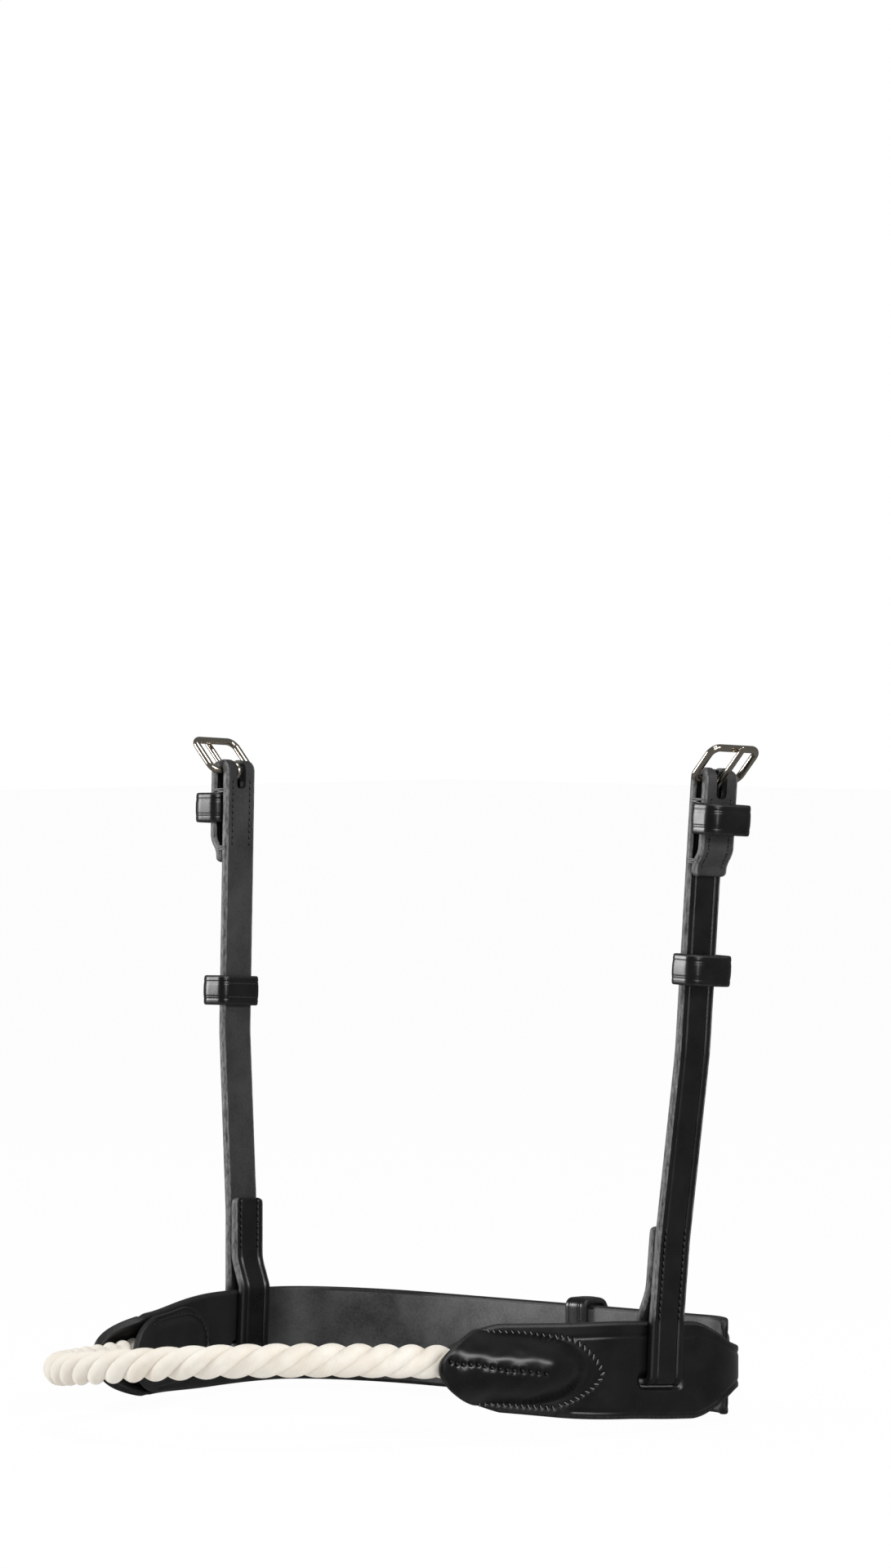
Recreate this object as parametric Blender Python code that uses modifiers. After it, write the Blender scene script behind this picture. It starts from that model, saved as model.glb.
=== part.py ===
"""Bridle noseband with a rope front, as separate leather, rope and steel pieces.

The noseband is a loop that goes round a horse's nose. Its front is a three-strand rope. Each rope
end lies in a pocket, moulded in the end of a leather band and closed by a lining on the inside. A
hanger strap comes up from a slot in each band to a buckle with a fixed and a running keeper. The
off band goes round the back, and the near band narrows to a billet that is buckled over it.

Metres, +Z up, -Y towards the nose tip, +X towards the near (left) side of the horse. The origin is
midway between the two hanger slots, at half the height of the bands.
"""
import math

import bmesh
import bpy
from mathutils import Matrix, Vector
from mathutils.geometry import interpolate_bezier

# Clearances
SEAT_GAP = 0.0003
SLIDE_GAP = 0.0004
CUT_OVERRUN = 0.002

# Band leather: the outline of a flat blank, by distance from its front tip
BAND_HEIGHT = 0.0315
BAND_THICKNESS = 0.0030
MOUTH_HEIGHT = 0.0272
NOSE_LENGTH = 0.018
FULL_HEIGHT_DISTANCE = 0.070
OFF_END_CORNER = 0.003
BILLET_WIDTH = 0.014
BILLET_TAPER = 0.025
BILLET_TAPER_START = 0.014
BILLET_TIP = 0.009
BILLET_PAST_BUCKLE = 0.070
BILLET_HOLE_RADIUS = 0.0018
BILLET_HOLE_PITCH = 0.018
BILLET_SPARE_HOLES = 3

# Plan of the loop, on the middle of the band's thickness
HANGER_HALF_SPAN = 0.096
SIDE_HEADING_DEG = 4.0
SIDE_FLAT = 0.024
TIP_HALF_SPAN = 0.0693
TIP_REACH = 0.080
TIP_HEADING_DEG = 18.0
SIDE_CURVE_SHARES = (0.33, 0.33)
REAR_REACH = 0.0432
OFF_CORNER_INSET = 0.046
OFF_CORNER_SHARES = (0.32, 0.45)
NEAR_CORNER_RADIUS = 0.0208
OFF_END_SWEEP_DEG = 58.0
REAR_BEND_DEG = 1.5

# The loop isn't quite level: it rises to the front, more on the near side, and drops at the rear
TIP_RISE = 0.0028
TIP_SKEW = 0.0039
REAR_DROP = 0.0013
RISE_EASE = 0.014

# Rope front
ROPE_REACH = 0.1485
ROPE_CURVE_SHARES = (0.43, 0.32)
ROPE_LAY = 0.028
ROPE_STRANDS = 3
STRAND_RADIUS = 0.0023
STRAND_CIRCLE = 0.0031
STRAND_POINTS_PER_TURN = 10
ROPE_TUCK = 0.034
ROPE_PHASE_DEG = 0.0

# Rope pocket
LINING_THICKNESS = 0.0020
LINING_LENGTH = 0.062
LINING_APEX = 0.022
LINING_SETBACK = 0.001
POCKET_HALF_HEIGHT = 0.0123
POCKET_FADE = 0.015
POCKET_FLAT_POWER = 2.4
POCKET_FOOT_POWER = 1.2
POCKET_GAP = 0.0005

# Hanger straps
STRAP_WIDTH = 0.014
STRAP_THICKNESS = 0.0024
SLOT_DROP = 0.0035
SLOT_HEIGHT = 0.0040
SLOT_PLAY = 0.0018
SLOT_CORNER = 0.0018
LOOP_CORNER = 0.0018
EDGE_CLEARANCE = 0.0010
BACK_LEAN_DEG = 3.1
BAR_LIFT = 0.1938
BAR_OUT = 0.0151
STRAP_LOW_BEND = 0.045
STRAP_LOW_OUT = 0.0012
STRAP_HIGH_BEND = 0.106
STRAP_TOP_LEAN_DEG = 1.5
STRAP_BEND_RADIUS = 0.080
STRAP_JOIN_RISE = 0.010
STRAP_JOIN_RADIUS = 0.012
TURN_UP_LENGTH = 0.0305
TURN_DOWN_LENGTH = 0.031
SKIVE_LENGTH = 0.008
SKIVE_RADIUS = 0.006
SLIT_WIDTH = 0.0044
SLIT_DEPTH = 0.006

# Buckles
WIRE_RADIUS = 0.0012
FRAME_HALF_WIDTH = 0.0098
FRAME_LENGTH = 0.0140
FRAME_CORNER = 0.0030
HANGER_TILT_DEG = 42.0
TONGUE_RADIUS = 0.0010
TONGUE_OVERHANG = 0.0018
TONGUE_HOOK_DEG = 250.0
TONGUE_POINT_SHARE = 0.6

# Keepers
KEEPER_WIDTH = 0.010
KEEPER_THICKNESS = 0.0018
KEEPER_CORNER = 0.0019
KEEPER_TUCK = 0.0045
BILLET_ROOM = 0.0049
FIXED_KEEPER_DROP = 0.0125
NEAR_KEEPER_LIFT = 0.1327
OFF_KEEPER_LIFT = 0.1195

# Rear fastening, on the outside of the off band
REAR_BAR_INSET = 0.034
REAR_BEND_FROM_BAR = 0.034
REAR_TURN_DOWN = 0.026
CHAPE_LENGTH = 0.030
CLIMB_SHARE = 2.0
DESCENT_LEAD = 0.0065
DESCENT_LENGTH = 0.019
REAR_KEEPER_FROM_BAR = 0.0415
REAR_KEEPER_WIDTH = 0.009
TONGUE_HOLE_PLAY = 0.0013
TONGUE_HOLE_AIM_DEG = 3.5

# Counts
ROWS = 10
DENSE_STEPS = 48
ARC_STEP_DEG = 18.0
WIRE_RESOLUTION = 2
NOSE_FIRST_DEG = 12.0
SAME_POINT_SHARE = 0.05

# Sizes that follow from those above
OFF_CORNER_END_X = HANGER_HALF_SPAN - OFF_CORNER_INSET
REAR_BAR_X = HANGER_HALF_SPAN - REAR_BAR_INSET
REAR_BEND_X = REAR_BAR_X - REAR_BEND_FROM_BAR
REAR_KEEPER_X = REAR_BAR_X - REAR_KEEPER_FROM_BAR
ROPE_RADIUS = STRAND_CIRCLE + STRAND_RADIUS
TAIL_OFFSET = BAND_THICKNESS + SEAT_GAP
LINING_OFFSET = -(BAND_THICKNESS + LINING_THICKNESS) / 2 - SEAT_GAP
ROPE_OFFSET = LINING_OFFSET + LINING_THICKNESS / 2 + SEAT_GAP + ROPE_RADIUS
POCKET_DEPTH = ROPE_OFFSET + ROPE_RADIUS + POCKET_GAP + BAND_THICKNESS / 2
RUN_OFFSET = (BAND_THICKNESS + STRAP_THICKNESS) / 2 + SEAT_GAP
FOLD_RADIUS = WIRE_RADIUS + SEAT_GAP + STRAP_THICKNESS / 2
TONGUE_OFFSET = WIRE_RADIUS + SEAT_GAP + TONGUE_RADIUS
LAYER_PITCH = STRAP_THICKNESS + SEAT_GAP
REAR_BAR_OUT = BAND_THICKNESS / 2 + SEAT_GAP + STRAP_THICKNESS / 2 + FOLD_RADIUS
TAIL_RISE = 2 * FOLD_RADIUS + STRAP_THICKNESS + SEAT_GAP
UP = Vector((0, 0, 1))


class Route:
    """A line through dense points, read by the distance along it."""

    def __init__(self, points):
        self.points = [points[0]]
        self.distances = [0.0]
        for point in points[1:]:
            step = (point - self.points[-1]).length
            if step > self.distances[-1] * 1e-6 and step > 0:
                self.points.append(point)
                self.distances.append(self.distances[-1] + step)
        self.length = self.distances[-1]

    def at(self, distance):
        """The point at a distance, and the unit direction of travel there."""
        index = 1
        while index < len(self.points) - 1 and self.distances[index] < distance:
            index += 1
        start, end = self.points[index - 1], self.points[index]
        span = self.distances[index] - self.distances[index - 1]
        share = (distance - self.distances[index - 1]) / span
        return start.lerp(end, share), (end - start).normalized()


def heading(degrees):
    """The plan direction from the nose to the rear on the near side, turned outwards by degrees."""
    angle = math.radians(degrees)
    return Vector((math.sin(angle), math.cos(angle)))


def right_of(aim):
    return Vector((aim.y, -aim.x))


def curve_between(start, start_aim, end, end_aim, shares):
    """Plan points of a smooth curve with given directions at both ends."""
    span = (end - start).length
    first = start + start_aim * span * shares[0]
    second = end - end_aim * span * shares[1]
    return interpolate_bezier(start, first, second, end, DENSE_STEPS)


def arc(centre, radius, start_deg, end_deg):
    steps = range(DENSE_STEPS + 1)
    angles = [math.radians(start_deg + (end_deg - start_deg) * step / DENSE_STEPS) for step in steps]
    return [centre + Vector((math.cos(angle), math.sin(angle))) * radius for angle in angles]


def smooth(share):
    share = min(max(share, 0.0), 1.0)
    return share * share * (3 - 2 * share)


def spaced(start, end, steps):
    """Values from start to just before end."""
    return [start + (end - start) * step / steps for step in range(steps)]


def ring_height(point):
    """The height of the loop's middle line over a plan point."""
    forward, span = -point.y, point.x / TIP_HALF_SPAN
    front = (forward + math.hypot(forward, RISE_EASE)) / 2
    rear = (math.hypot(forward, RISE_EASE) - forward) / 2
    return front / TIP_REACH * (TIP_RISE + TIP_SKEW * span) - REAR_DROP * rear / REAR_REACH


def mirrored(points):
    return [Vector((-point.x, point.y)) for point in points]


# Plan routes. Each band's route starts at its front tip.
TIP = Vector((TIP_HALF_SPAN, -TIP_REACH))
HANGER = Vector((HANGER_HALF_SPAN, 0))
SIDE_AIM = heading(SIDE_HEADING_DEG)
TIP_AIM = heading(TIP_HEADING_DEG)
FLAT_FRONT = HANGER - SIDE_AIM * SIDE_FLAT / 2
FLAT_REAR = HANGER + SIDE_AIM * SIDE_FLAT / 2
SIDE_POINTS = curve_between(TIP, TIP_AIM, FLAT_FRONT, SIDE_AIM, SIDE_CURVE_SHARES) + [FLAT_REAR]
# The rear line is straight behind the buckle, and bends in a little on its way to the off side
REAR_BEND = math.radians(REAR_BEND_DEG)
REAR_AIM = Vector((-math.cos(REAR_BEND), -math.sin(REAR_BEND)))


def corner_centre(line_y, radius):
    """The centre of the arc that joins the straight side line to the rear line."""
    outward = right_of(SIDE_AIM)
    along = (line_y - radius + radius * outward.y) / SIDE_AIM.y
    return HANGER + SIDE_AIM * along - outward * radius


def near_route():
    tail_y = REAR_REACH + TAIL_OFFSET
    centre = corner_centre(tail_y, NEAR_CORNER_RADIUS)
    corner = arc(centre, NEAR_CORNER_RADIUS, -SIDE_HEADING_DEG, 90)
    bend = Vector((REAR_BEND_X, tail_y))
    end = bend + REAR_AIM * (BILLET_PAST_BUCKLE - REAR_BEND_FROM_BAR)
    return Route(SIDE_POINTS + corner + [bend, end])


def rear_y(x):
    """The place of the off band's rear line over x."""
    return REAR_REACH - max(REAR_BEND_X - x, 0.0) * math.tan(REAR_BEND)


def off_corner():
    """From the side to the rear line, drawn on the near side."""
    corner_end = Vector((OFF_CORNER_END_X, rear_y(-OFF_CORNER_END_X)))
    end_aim = Vector((REAR_AIM.x, -REAR_AIM.y))
    return curve_between(FLAT_REAR, SIDE_AIM, corner_end, end_aim, OFF_CORNER_SHARES)


def off_route():
    near_centre = corner_centre(REAR_REACH + TAIL_OFFSET, NEAR_CORNER_RADIUS)
    inner_radius = NEAR_CORNER_RADIUS - TAIL_OFFSET
    end_corner = arc(near_centre, inner_radius, 90, 90 - OFF_END_SWEEP_DEG)
    bend = Vector((REAR_BEND_X, REAR_REACH))
    return Route(mirrored(SIDE_POINTS + off_corner()) + [bend] + end_corner)


def rope_route():
    """From the near pocket round the front to the off pocket, on the middle of the rope."""
    side = Route(SIDE_POINTS)
    tucked = []
    for distance in spaced(ROPE_TUCK, 0, DENSE_STEPS):
        point, aim = side.at(distance)
        tucked.append(point + right_of(aim) * ROPE_OFFSET)
    mouth = TIP + right_of(TIP_AIM) * ROPE_OFFSET
    front = Vector((0, -ROPE_REACH))
    half = tucked + curve_between(mouth, -TIP_AIM, front, Vector((-1, 0)), ROPE_CURVE_SHARES)
    plan = half + mirrored(half[:-1])[::-1]
    return Route([Vector((point.x, point.y, ring_height(point))) for point in plan])


NEAR_ROUTE = near_route()
OFF_ROUTE = off_route()
HANGER_DISTANCE = Route(SIDE_POINTS).length - SIDE_FLAT / 2
BAR_DISTANCE = NEAR_ROUTE.length - BILLET_PAST_BUCKLE


# Outlines of the leather blanks, as half heights by distance from the tip
def nose_half_height(distance):
    """A half ellipse at the tip, then a slow rise to the full height."""
    if distance < NOSE_LENGTH:
        back = 1 - distance / NOSE_LENGTH
        return MOUTH_HEIGHT / 2 * math.sqrt(1 - back * back)
    share = smooth((distance - NOSE_LENGTH) / (FULL_HEIGHT_DISTANCE - NOSE_LENGTH))
    return (MOUTH_HEIGHT + (BAND_HEIGHT - MOUTH_HEIGHT) * share) / 2


def near_half_height(distance):
    taper_start = HANGER_DISTANCE + BILLET_TAPER_START
    share = smooth((distance - taper_start) / BILLET_TAPER)
    half = nose_half_height(distance) + (BILLET_WIDTH - BAND_HEIGHT) / 2 * share
    to_end = (NEAR_ROUTE.length - distance) / BILLET_TIP
    if to_end < 1:
        half *= math.sqrt(max(1 - (1 - to_end) ** 2, 0.0))
    return half


def off_half_height(distance):
    half = nose_half_height(distance)
    to_end = (OFF_ROUTE.length - distance) / OFF_END_CORNER
    if to_end < 1:
        half -= OFF_END_CORNER * (1 - math.sqrt(max(1 - (1 - to_end) ** 2, 0.0)))
    return half


def lining_half_height(distance):
    half = nose_half_height(distance - LINING_SETBACK)
    to_end = (LINING_LENGTH - distance) / LINING_APEX
    if to_end < 1:
        half *= math.sqrt(max(1 - (1 - to_end) ** 2, 0.0))
    return half


def pocket_lift(distance, height):
    """How far the band is moulded outwards, over the rope end."""
    share = min(abs(height) / POCKET_HALF_HEIGHT, 1.0)
    across = (1 - share ** POCKET_FLAT_POWER) ** POCKET_FOOT_POWER
    along = 1 - smooth((distance - ROPE_TUCK) / POCKET_FADE)
    return POCKET_DEPTH * across * along


def tail_lift(distance):
    """How far the billet stands out, to pass over the buckle's bar and the turned leather."""
    ahead = BAR_DISTANCE - distance
    climb = smooth(1 - (ahead - FOLD_RADIUS / 2) / (FRAME_LENGTH * CLIMB_SHARE - FOLD_RADIUS / 2))
    descent = smooth((-ahead - REAR_TURN_DOWN + DESCENT_LEAD) / DESCENT_LENGTH)
    return TAIL_RISE * (climb - descent)


def half_ellipse_stations(start, length, steps):
    """Distances that follow the round of a half-ellipse end, closest at its tip."""
    step = (90 - NOSE_FIRST_DEG) / steps
    angles = [math.radians(NOSE_FIRST_DEG + step * index) for index in range(steps)]
    return [start + length * (1 - math.cos(angle)) for angle in angles]


def end_stations(end, length, steps):
    return [2 * end - station for station in half_ellipse_stations(end, length, steps)][::-1]


# Building helpers
def material(name, color, roughness, metallic=0.0):
    finish = bpy.data.materials.new(name)
    finish.use_nodes = True
    shader = finish.node_tree.nodes["Principled BSDF"]
    shader.inputs["Base Color"].default_value = (*color, 1)
    shader.inputs["Roughness"].default_value = roughness
    shader.inputs["Metallic"].default_value = metallic
    finish.diffuse_color = (*color, 1)
    return finish


def new_collection(name):
    collection = bpy.data.collections.new(name)
    bpy.context.scene.collection.children.link(collection)
    return collection


def place_empty(name, matrix, parent=None):
    """A frame for moving pieces: local X points outwards, Y across the strap and Z along it."""
    empty = bpy.data.objects.new(name, None)
    NOSEBAND.objects.link(empty)
    empty.parent = parent
    empty.matrix_local = matrix
    return empty


def leather_sheet(name, columns, rows, place, thickness, finish, parent=None, closed=False):
    """A flat blank, bent by place(column, row share) and given its thickness."""
    mesh = bpy.data.meshes.new(name)
    sheet = bmesh.new()
    bmesh.ops.create_grid(sheet, x_segments=columns, y_segments=rows, size=1)
    for vertex in sheet.verts:
        column = round((vertex.co.x + 1) / 2 * columns)
        vertex.co = place(column, vertex.co.y)
    if closed:
        bmesh.ops.remove_doubles(sheet, verts=sheet.verts, dist=thickness * 1e-3)
    sheet.to_mesh(mesh)
    sheet.free()
    piece = bpy.data.objects.new(name, mesh)
    NOSEBAND.objects.link(piece)
    piece.parent = parent
    wall = piece.modifiers.new("thickness", "SOLIDIFY")
    wall.thickness = thickness
    wall.offset = 0
    wall.use_even_offset = True
    mesh.materials.append(finish)
    mesh.shade_smooth()
    mesh.set_sharp_from_angle(angle=math.radians(40))
    return piece


def band_sheet(name, route, side, stations, half_height, lift, thickness, finish):
    """Leather that stands on edge along a plan route."""
    def place(column, row_share):
        distance = stations[column]
        point, aim = route.at(distance)
        height = half_height(distance) * row_share
        outward = right_of(aim) * side
        plan = point + outward * lift(distance, height)
        return Vector((plan.x, plan.y, ring_height(point) + height))
    return leather_sheet(name, len(stations) - 1, ROWS, place, thickness, finish)


def rounded_corners(corners, radii):
    """A line through corners, each rounded by an arc of its radius."""
    points = [corners[0]]
    for before, corner, after, radius in zip(corners, corners[1:], corners[2:], radii):
        arriving, leaving = (corner - before).normalized(), (after - corner).normalized()
        turn = arriving.angle_signed(leaving)
        reach = radius * math.tan(abs(turn) / 2)
        steps = max(2, round(math.degrees(abs(turn)) / ARC_STEP_DEG))
        start = corner - arriving * reach
        inward = Vector((arriving.y, -arriving.x)) * (1 if turn > 0 else -1)
        centre = start + inward * radius
        for step in range(steps + 1):
            angle = turn * step / steps
            points.append(centre + Matrix.Rotation(-angle, 2) @ (start - centre))
    return points + [corners[-1]]


def distinct(points, spacing):
    """The points, without those that all but repeat the one before."""
    kept = [points[0]]
    for point in points[1:]:
        if (point - kept[-1]).length > spacing:
            kept.append(point)
    return kept


def strap_strip(name, line, width, thickness, finish, parent):
    """A strap whose side view is a line of (outward, along) points."""
    line = distinct(line, thickness * SAME_POINT_SHARE)

    def place(column, row_share):
        return Vector((line[column].x, row_share * width / 2, line[column].y))
    return leather_sheet(name, len(line) - 1, 1, place, thickness, finish, parent)


def keeper_band(name, line, width, finish, parent, closed=False):
    """A keeper whose end view is a line of (outward, across) points."""
    line = distinct(line, KEEPER_THICKNESS * SAME_POINT_SHARE)
    if closed:
        line = line + [line[0]]

    def place(column, row_share):
        return Vector((line[column].x, line[column].y, row_share * width / 2))
    return leather_sheet(
        name, len(line) - 1, 1, place, KEEPER_THICKNESS, finish, parent, closed)


def wire(name, points, radius, finish, parent=None, cyclic=False, end_share=1.0):
    """A round wire or strand along a line of points."""
    curve = bpy.data.curves.new(name, "CURVE")
    curve.dimensions = "3D"
    curve.bevel_depth = radius
    curve.bevel_resolution = WIRE_RESOLUTION
    curve.use_fill_caps = not cyclic
    spline = curve.splines.new("POLY")
    spline.points.add(len(points) - 1)
    for spline_point, point in zip(spline.points, points):
        spline_point.co = (*point, 1)
    spline.points[-1].radius = end_share
    spline.use_cyclic_u = cyclic
    curve.materials.append(finish)
    piece = bpy.data.objects.new(name, curve)
    NOSEBAND.objects.link(piece)
    piece.parent = parent
    return piece


def as_cutter(cutter, target):
    CUTTERS.objects.link(cutter)
    cutter.hide_render = True
    cutter.display_type = "WIRE"
    cut = target.modifiers.new(cutter.name, "BOOLEAN")
    cut.operation = "DIFFERENCE"
    cut.solver = "EXACT"
    cut.object = cutter


def box_cutter(name, target, parent, size, centre, corner=0.0):
    """Cut a box from a piece. Its edges along local X can be rounded."""
    mesh = bpy.data.meshes.new(name)
    box = bmesh.new()
    bmesh.ops.create_cube(box, size=1)
    for vertex in box.verts:
        vertex.co = Vector([share * length for share, length in zip(vertex.co, size)]) + centre
    if corner:
        edges = [edge for edge in box.edges if abs(edge.verts[0].co.x - edge.verts[1].co.x) > corner]
        bmesh.ops.bevel(box, geom=edges, offset=corner, segments=3, profile=0.5, affect="EDGES")
    box.to_mesh(mesh)
    box.free()
    cutter = bpy.data.objects.new(name, mesh)
    cutter.parent = parent
    as_cutter(cutter, target)


def hole_cutter(name, target, parent, radius, length, matrix):
    """Punch a round hole, along the local Z of a matrix."""
    mesh = bpy.data.meshes.new(name)
    punch = bmesh.new()
    bmesh.ops.create_cone(
        punch, cap_ends=True, segments=12, radius1=radius, radius2=radius, depth=length, matrix=matrix)
    punch.to_mesh(mesh)
    punch.free()
    cutter = bpy.data.objects.new(name, mesh)
    cutter.parent = parent
    as_cutter(cutter, target)


# Rope
def make_rope():
    """Three strands laid left-handed round the rope's middle line."""
    route = rope_route()
    turns = route.length / ROPE_LAY
    steps = round(turns * STRAND_POINTS_PER_TURN)
    for strand in range(ROPE_STRANDS):
        points = []
        for step in range(steps + 1):
            middle, aim = route.at(route.length * step / steps)
            outward = UP.cross(aim).normalized()
            upward = aim.cross(outward)
            angle = -2 * math.pi * (turns * step / steps + strand / ROPE_STRANDS)
            angle += math.radians(ROPE_PHASE_DEG)
            swing = outward * math.cos(angle) + upward * math.sin(angle)
            points.append(middle + swing * STRAND_CIRCLE)
        wire(f"rope_strand_{strand + 1}", points, STRAND_RADIUS, COTTON)


# Bands and pocket linings
def pocket_only(distance, height):
    return pocket_lift(distance, height)


def pocket_and_tail(distance, height):
    return pocket_lift(distance, height) + tail_lift(distance)


def front_stations():
    """Stations from the tip to the end of the flat stretch at the hanger."""
    pocket_end = ROPE_TUCK + POCKET_FADE
    flat_start = HANGER_DISTANCE - SIDE_FLAT / 2
    stations = half_ellipse_stations(0, NOSE_LENGTH, 6)
    stations += spaced(NOSE_LENGTH, ROPE_TUCK, 3)
    stations += spaced(ROPE_TUCK, pocket_end, 4)
    stations += spaced(pocket_end, flat_start, 4)
    return stations + [flat_start]


def make_bands():
    flat_end = HANGER_DISTANCE + SIDE_FLAT / 2
    taper_end = HANGER_DISTANCE + BILLET_TAPER_START + BILLET_TAPER
    climb_start = BAR_DISTANCE - FRAME_LENGTH * CLIMB_SHARE
    descent_start = BAR_DISTANCE + REAR_TURN_DOWN - DESCENT_LEAD
    stations = front_stations()
    stations += spaced(flat_end, taper_end, 6)
    stations += spaced(taper_end, climb_start, 2)
    stations += spaced(climb_start, BAR_DISTANCE, 8)
    stations += spaced(BAR_DISTANCE, descent_start, 2)
    stations += spaced(descent_start, descent_start + DESCENT_LENGTH, 5)
    stations += spaced(descent_start + DESCENT_LENGTH, NEAR_ROUTE.length - BILLET_TIP, 2)
    stations += end_stations(NEAR_ROUTE.length, BILLET_TIP, 3)
    near_band = band_sheet(
        "near_band", NEAR_ROUTE, 1, stations, near_half_height, pocket_and_tail,
        BAND_THICKNESS, LEATHER)

    corner_end = flat_end + Route(off_corner()).length
    end_length = (NEAR_CORNER_RADIUS - TAIL_OFFSET) * math.radians(OFF_END_SWEEP_DEG)
    end_start = OFF_ROUTE.length - end_length
    bend = corner_end + (REAR_BEND_X + OFF_CORNER_END_X) / math.cos(REAR_BEND)
    stations = front_stations()
    stations += spaced(flat_end, corner_end, 9)
    stations += spaced(corner_end, bend, 2)
    stations += spaced(bend, end_start, 2)
    stations += spaced(end_start, OFF_ROUTE.length - OFF_END_CORNER, 4)
    stations += end_stations(OFF_ROUTE.length, OFF_END_CORNER, 2)
    off_band = band_sheet(
        "off_band", OFF_ROUTE, -1, stations, off_half_height, pocket_only, BAND_THICKNESS, LEATHER)

    for side, name, route in ((1, "near", NEAR_ROUTE), (-1, "off", OFF_ROUTE)):
        stations = half_ellipse_stations(LINING_SETBACK, NOSE_LENGTH, 5)
        stations += spaced(LINING_SETBACK + NOSE_LENGTH, LINING_LENGTH - LINING_APEX, 4)
        stations += end_stations(LINING_LENGTH, LINING_APEX, 5)
        band_sheet(
            f"{name}_rope_lining", route, side, stations, lining_half_height,
            lambda distance, height: LINING_OFFSET, LINING_THICKNESS, LEATHER)
    return near_band, off_band


# Buckled ends: the fold round the bar, the frame, the tongue and the fixed keeper
def fold_line(run_length, turn_length):
    """The side view of a strap that comes up, goes round the bar and is turned down outside.

    The bar is at the origin. The run ends FOLD_RADIUS inside it, the turned end as far outside,
    and the tip of the turned end closes on the run.
    """
    closed = -FOLD_RADIUS + LAYER_PITCH
    tip_start = -turn_length + SKIVE_LENGTH / 2
    corners = [
        Vector((-FOLD_RADIUS, -run_length)),
        Vector((-FOLD_RADIUS, FOLD_RADIUS)),
        Vector((FOLD_RADIUS, FOLD_RADIUS)),
        Vector((FOLD_RADIUS, tip_start + SKIVE_LENGTH / 2)),
        Vector((closed, tip_start)),
        Vector((closed, -turn_length)),
    ]
    return rounded_corners(corners, [FOLD_RADIUS, FOLD_RADIUS, SKIVE_RADIUS, SKIVE_RADIUS])


def make_fixed_keeper(name, bar):
    """A keeper whose two ends are tucked between the run and the turned end."""
    side = (STRAP_WIDTH + KEEPER_THICKNESS) / 2 + SLIDE_GAP
    outside = FOLD_RADIUS + STRAP_THICKNESS / 2 + BILLET_ROOM + KEEPER_THICKNESS / 2
    corners = [
        Vector((0, -side + KEEPER_TUCK)),
        Vector((0, -side)),
        Vector((outside, -side)),
        Vector((outside, side)),
        Vector((0, side)),
        Vector((0, side - KEEPER_TUCK)),
    ]
    line = rounded_corners(corners, [KEEPER_CORNER] * 4)
    keeper = keeper_band(name, line, KEEPER_WIDTH, LEATHER, bar)
    keeper.location = (0, 0, -FIXED_KEEPER_DROP)


def make_buckle(prefix, bar, tilt_deg):
    """The frame turns about its bar, at the origin of an empty, and carries the tongue."""
    tilted = place_empty(f"{prefix}_buckle_axis", Matrix.Rotation(math.radians(tilt_deg), 4, "Y"), bar)
    corners = [
        Vector((0, 0)),
        Vector((FRAME_HALF_WIDTH, 0)),
        Vector((FRAME_HALF_WIDTH, FRAME_LENGTH)),
        Vector((-FRAME_HALF_WIDTH, FRAME_LENGTH)),
        Vector((-FRAME_HALF_WIDTH, 0)),
        Vector((0, 0)),
    ]
    outline = rounded_corners(corners, [FRAME_CORNER] * 4)[:-1]
    ring = [Vector((0, point.x, point.y)) for point in outline]
    wire(f"{prefix}_buckle_frame", ring, WIRE_RADIUS, STEEL, tilted, cyclic=True)

    steps = round(TONGUE_HOOK_DEG / (ARC_STEP_DEG * 1.5))
    angles = [math.radians(-TONGUE_HOOK_DEG * step / steps) for step in range(steps, -1, -1)]
    hook = [Vector((math.cos(angle), 0, math.sin(angle))) * TONGUE_OFFSET for angle in angles]
    tip = Vector((TONGUE_OFFSET, 0, FRAME_LENGTH + WIRE_RADIUS + TONGUE_OVERHANG))
    neck = Vector((TONGUE_OFFSET, 0, FRAME_LENGTH + WIRE_RADIUS))
    line = hook + [neck, tip]
    wire(f"{prefix}_buckle_tongue", line, TONGUE_RADIUS, STEEL, tilted, end_share=TONGUE_POINT_SHARE)
    return tilted


def cut_slit(strap, bar):
    """The slit in the fold that lets the tongue's hook round the bar."""
    low, high = -SLIT_DEPTH, FOLD_RADIUS + STRAP_THICKNESS / 2 + CUT_OVERRUN
    depth = 2 * (FOLD_RADIUS + STRAP_THICKNESS / 2 + CUT_OVERRUN)
    box_cutter(
        f"{strap.name}_slit", strap, bar, (depth, SLIT_WIDTH, high - low),
        Vector((0, 0, (low + high) / 2)))


def make_running_keeper(name, frame, width, inner_back, inner_front, inner_half_width):
    """A closed loop that slides along a strap."""
    back = -inner_back - KEEPER_THICKNESS / 2
    front = inner_front + KEEPER_THICKNESS / 2
    side = inner_half_width + KEEPER_THICKNESS / 2
    corners = [
        Vector((back, 0)),
        Vector((back, side)),
        Vector((front, side)),
        Vector((front, -side)),
        Vector((back, -side)),
        Vector((back, 0)),
    ]
    line = rounded_corners(corners, [KEEPER_CORNER] * 4)[:-1]
    keeper_band(name, line, width, LEATHER, frame, closed=True)


# Hangers
def hanger_matrix(side):
    """Origin in the slot, X out of the band, Z up along the strap, which leans back."""
    turn = -math.radians(SIDE_HEADING_DEG) if side > 0 else math.pi + math.radians(SIDE_HEADING_DEG)
    lean = -side * math.radians(BACK_LEAN_DEG)
    plan = Vector((side * HANGER.x, HANGER.y))
    place = Matrix.Translation((plan.x, plan.y, ring_height(plan) - SLOT_DROP))
    return place @ Matrix.Rotation(turn, 4, "Z") @ Matrix.Rotation(lean, 4, "X")


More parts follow.
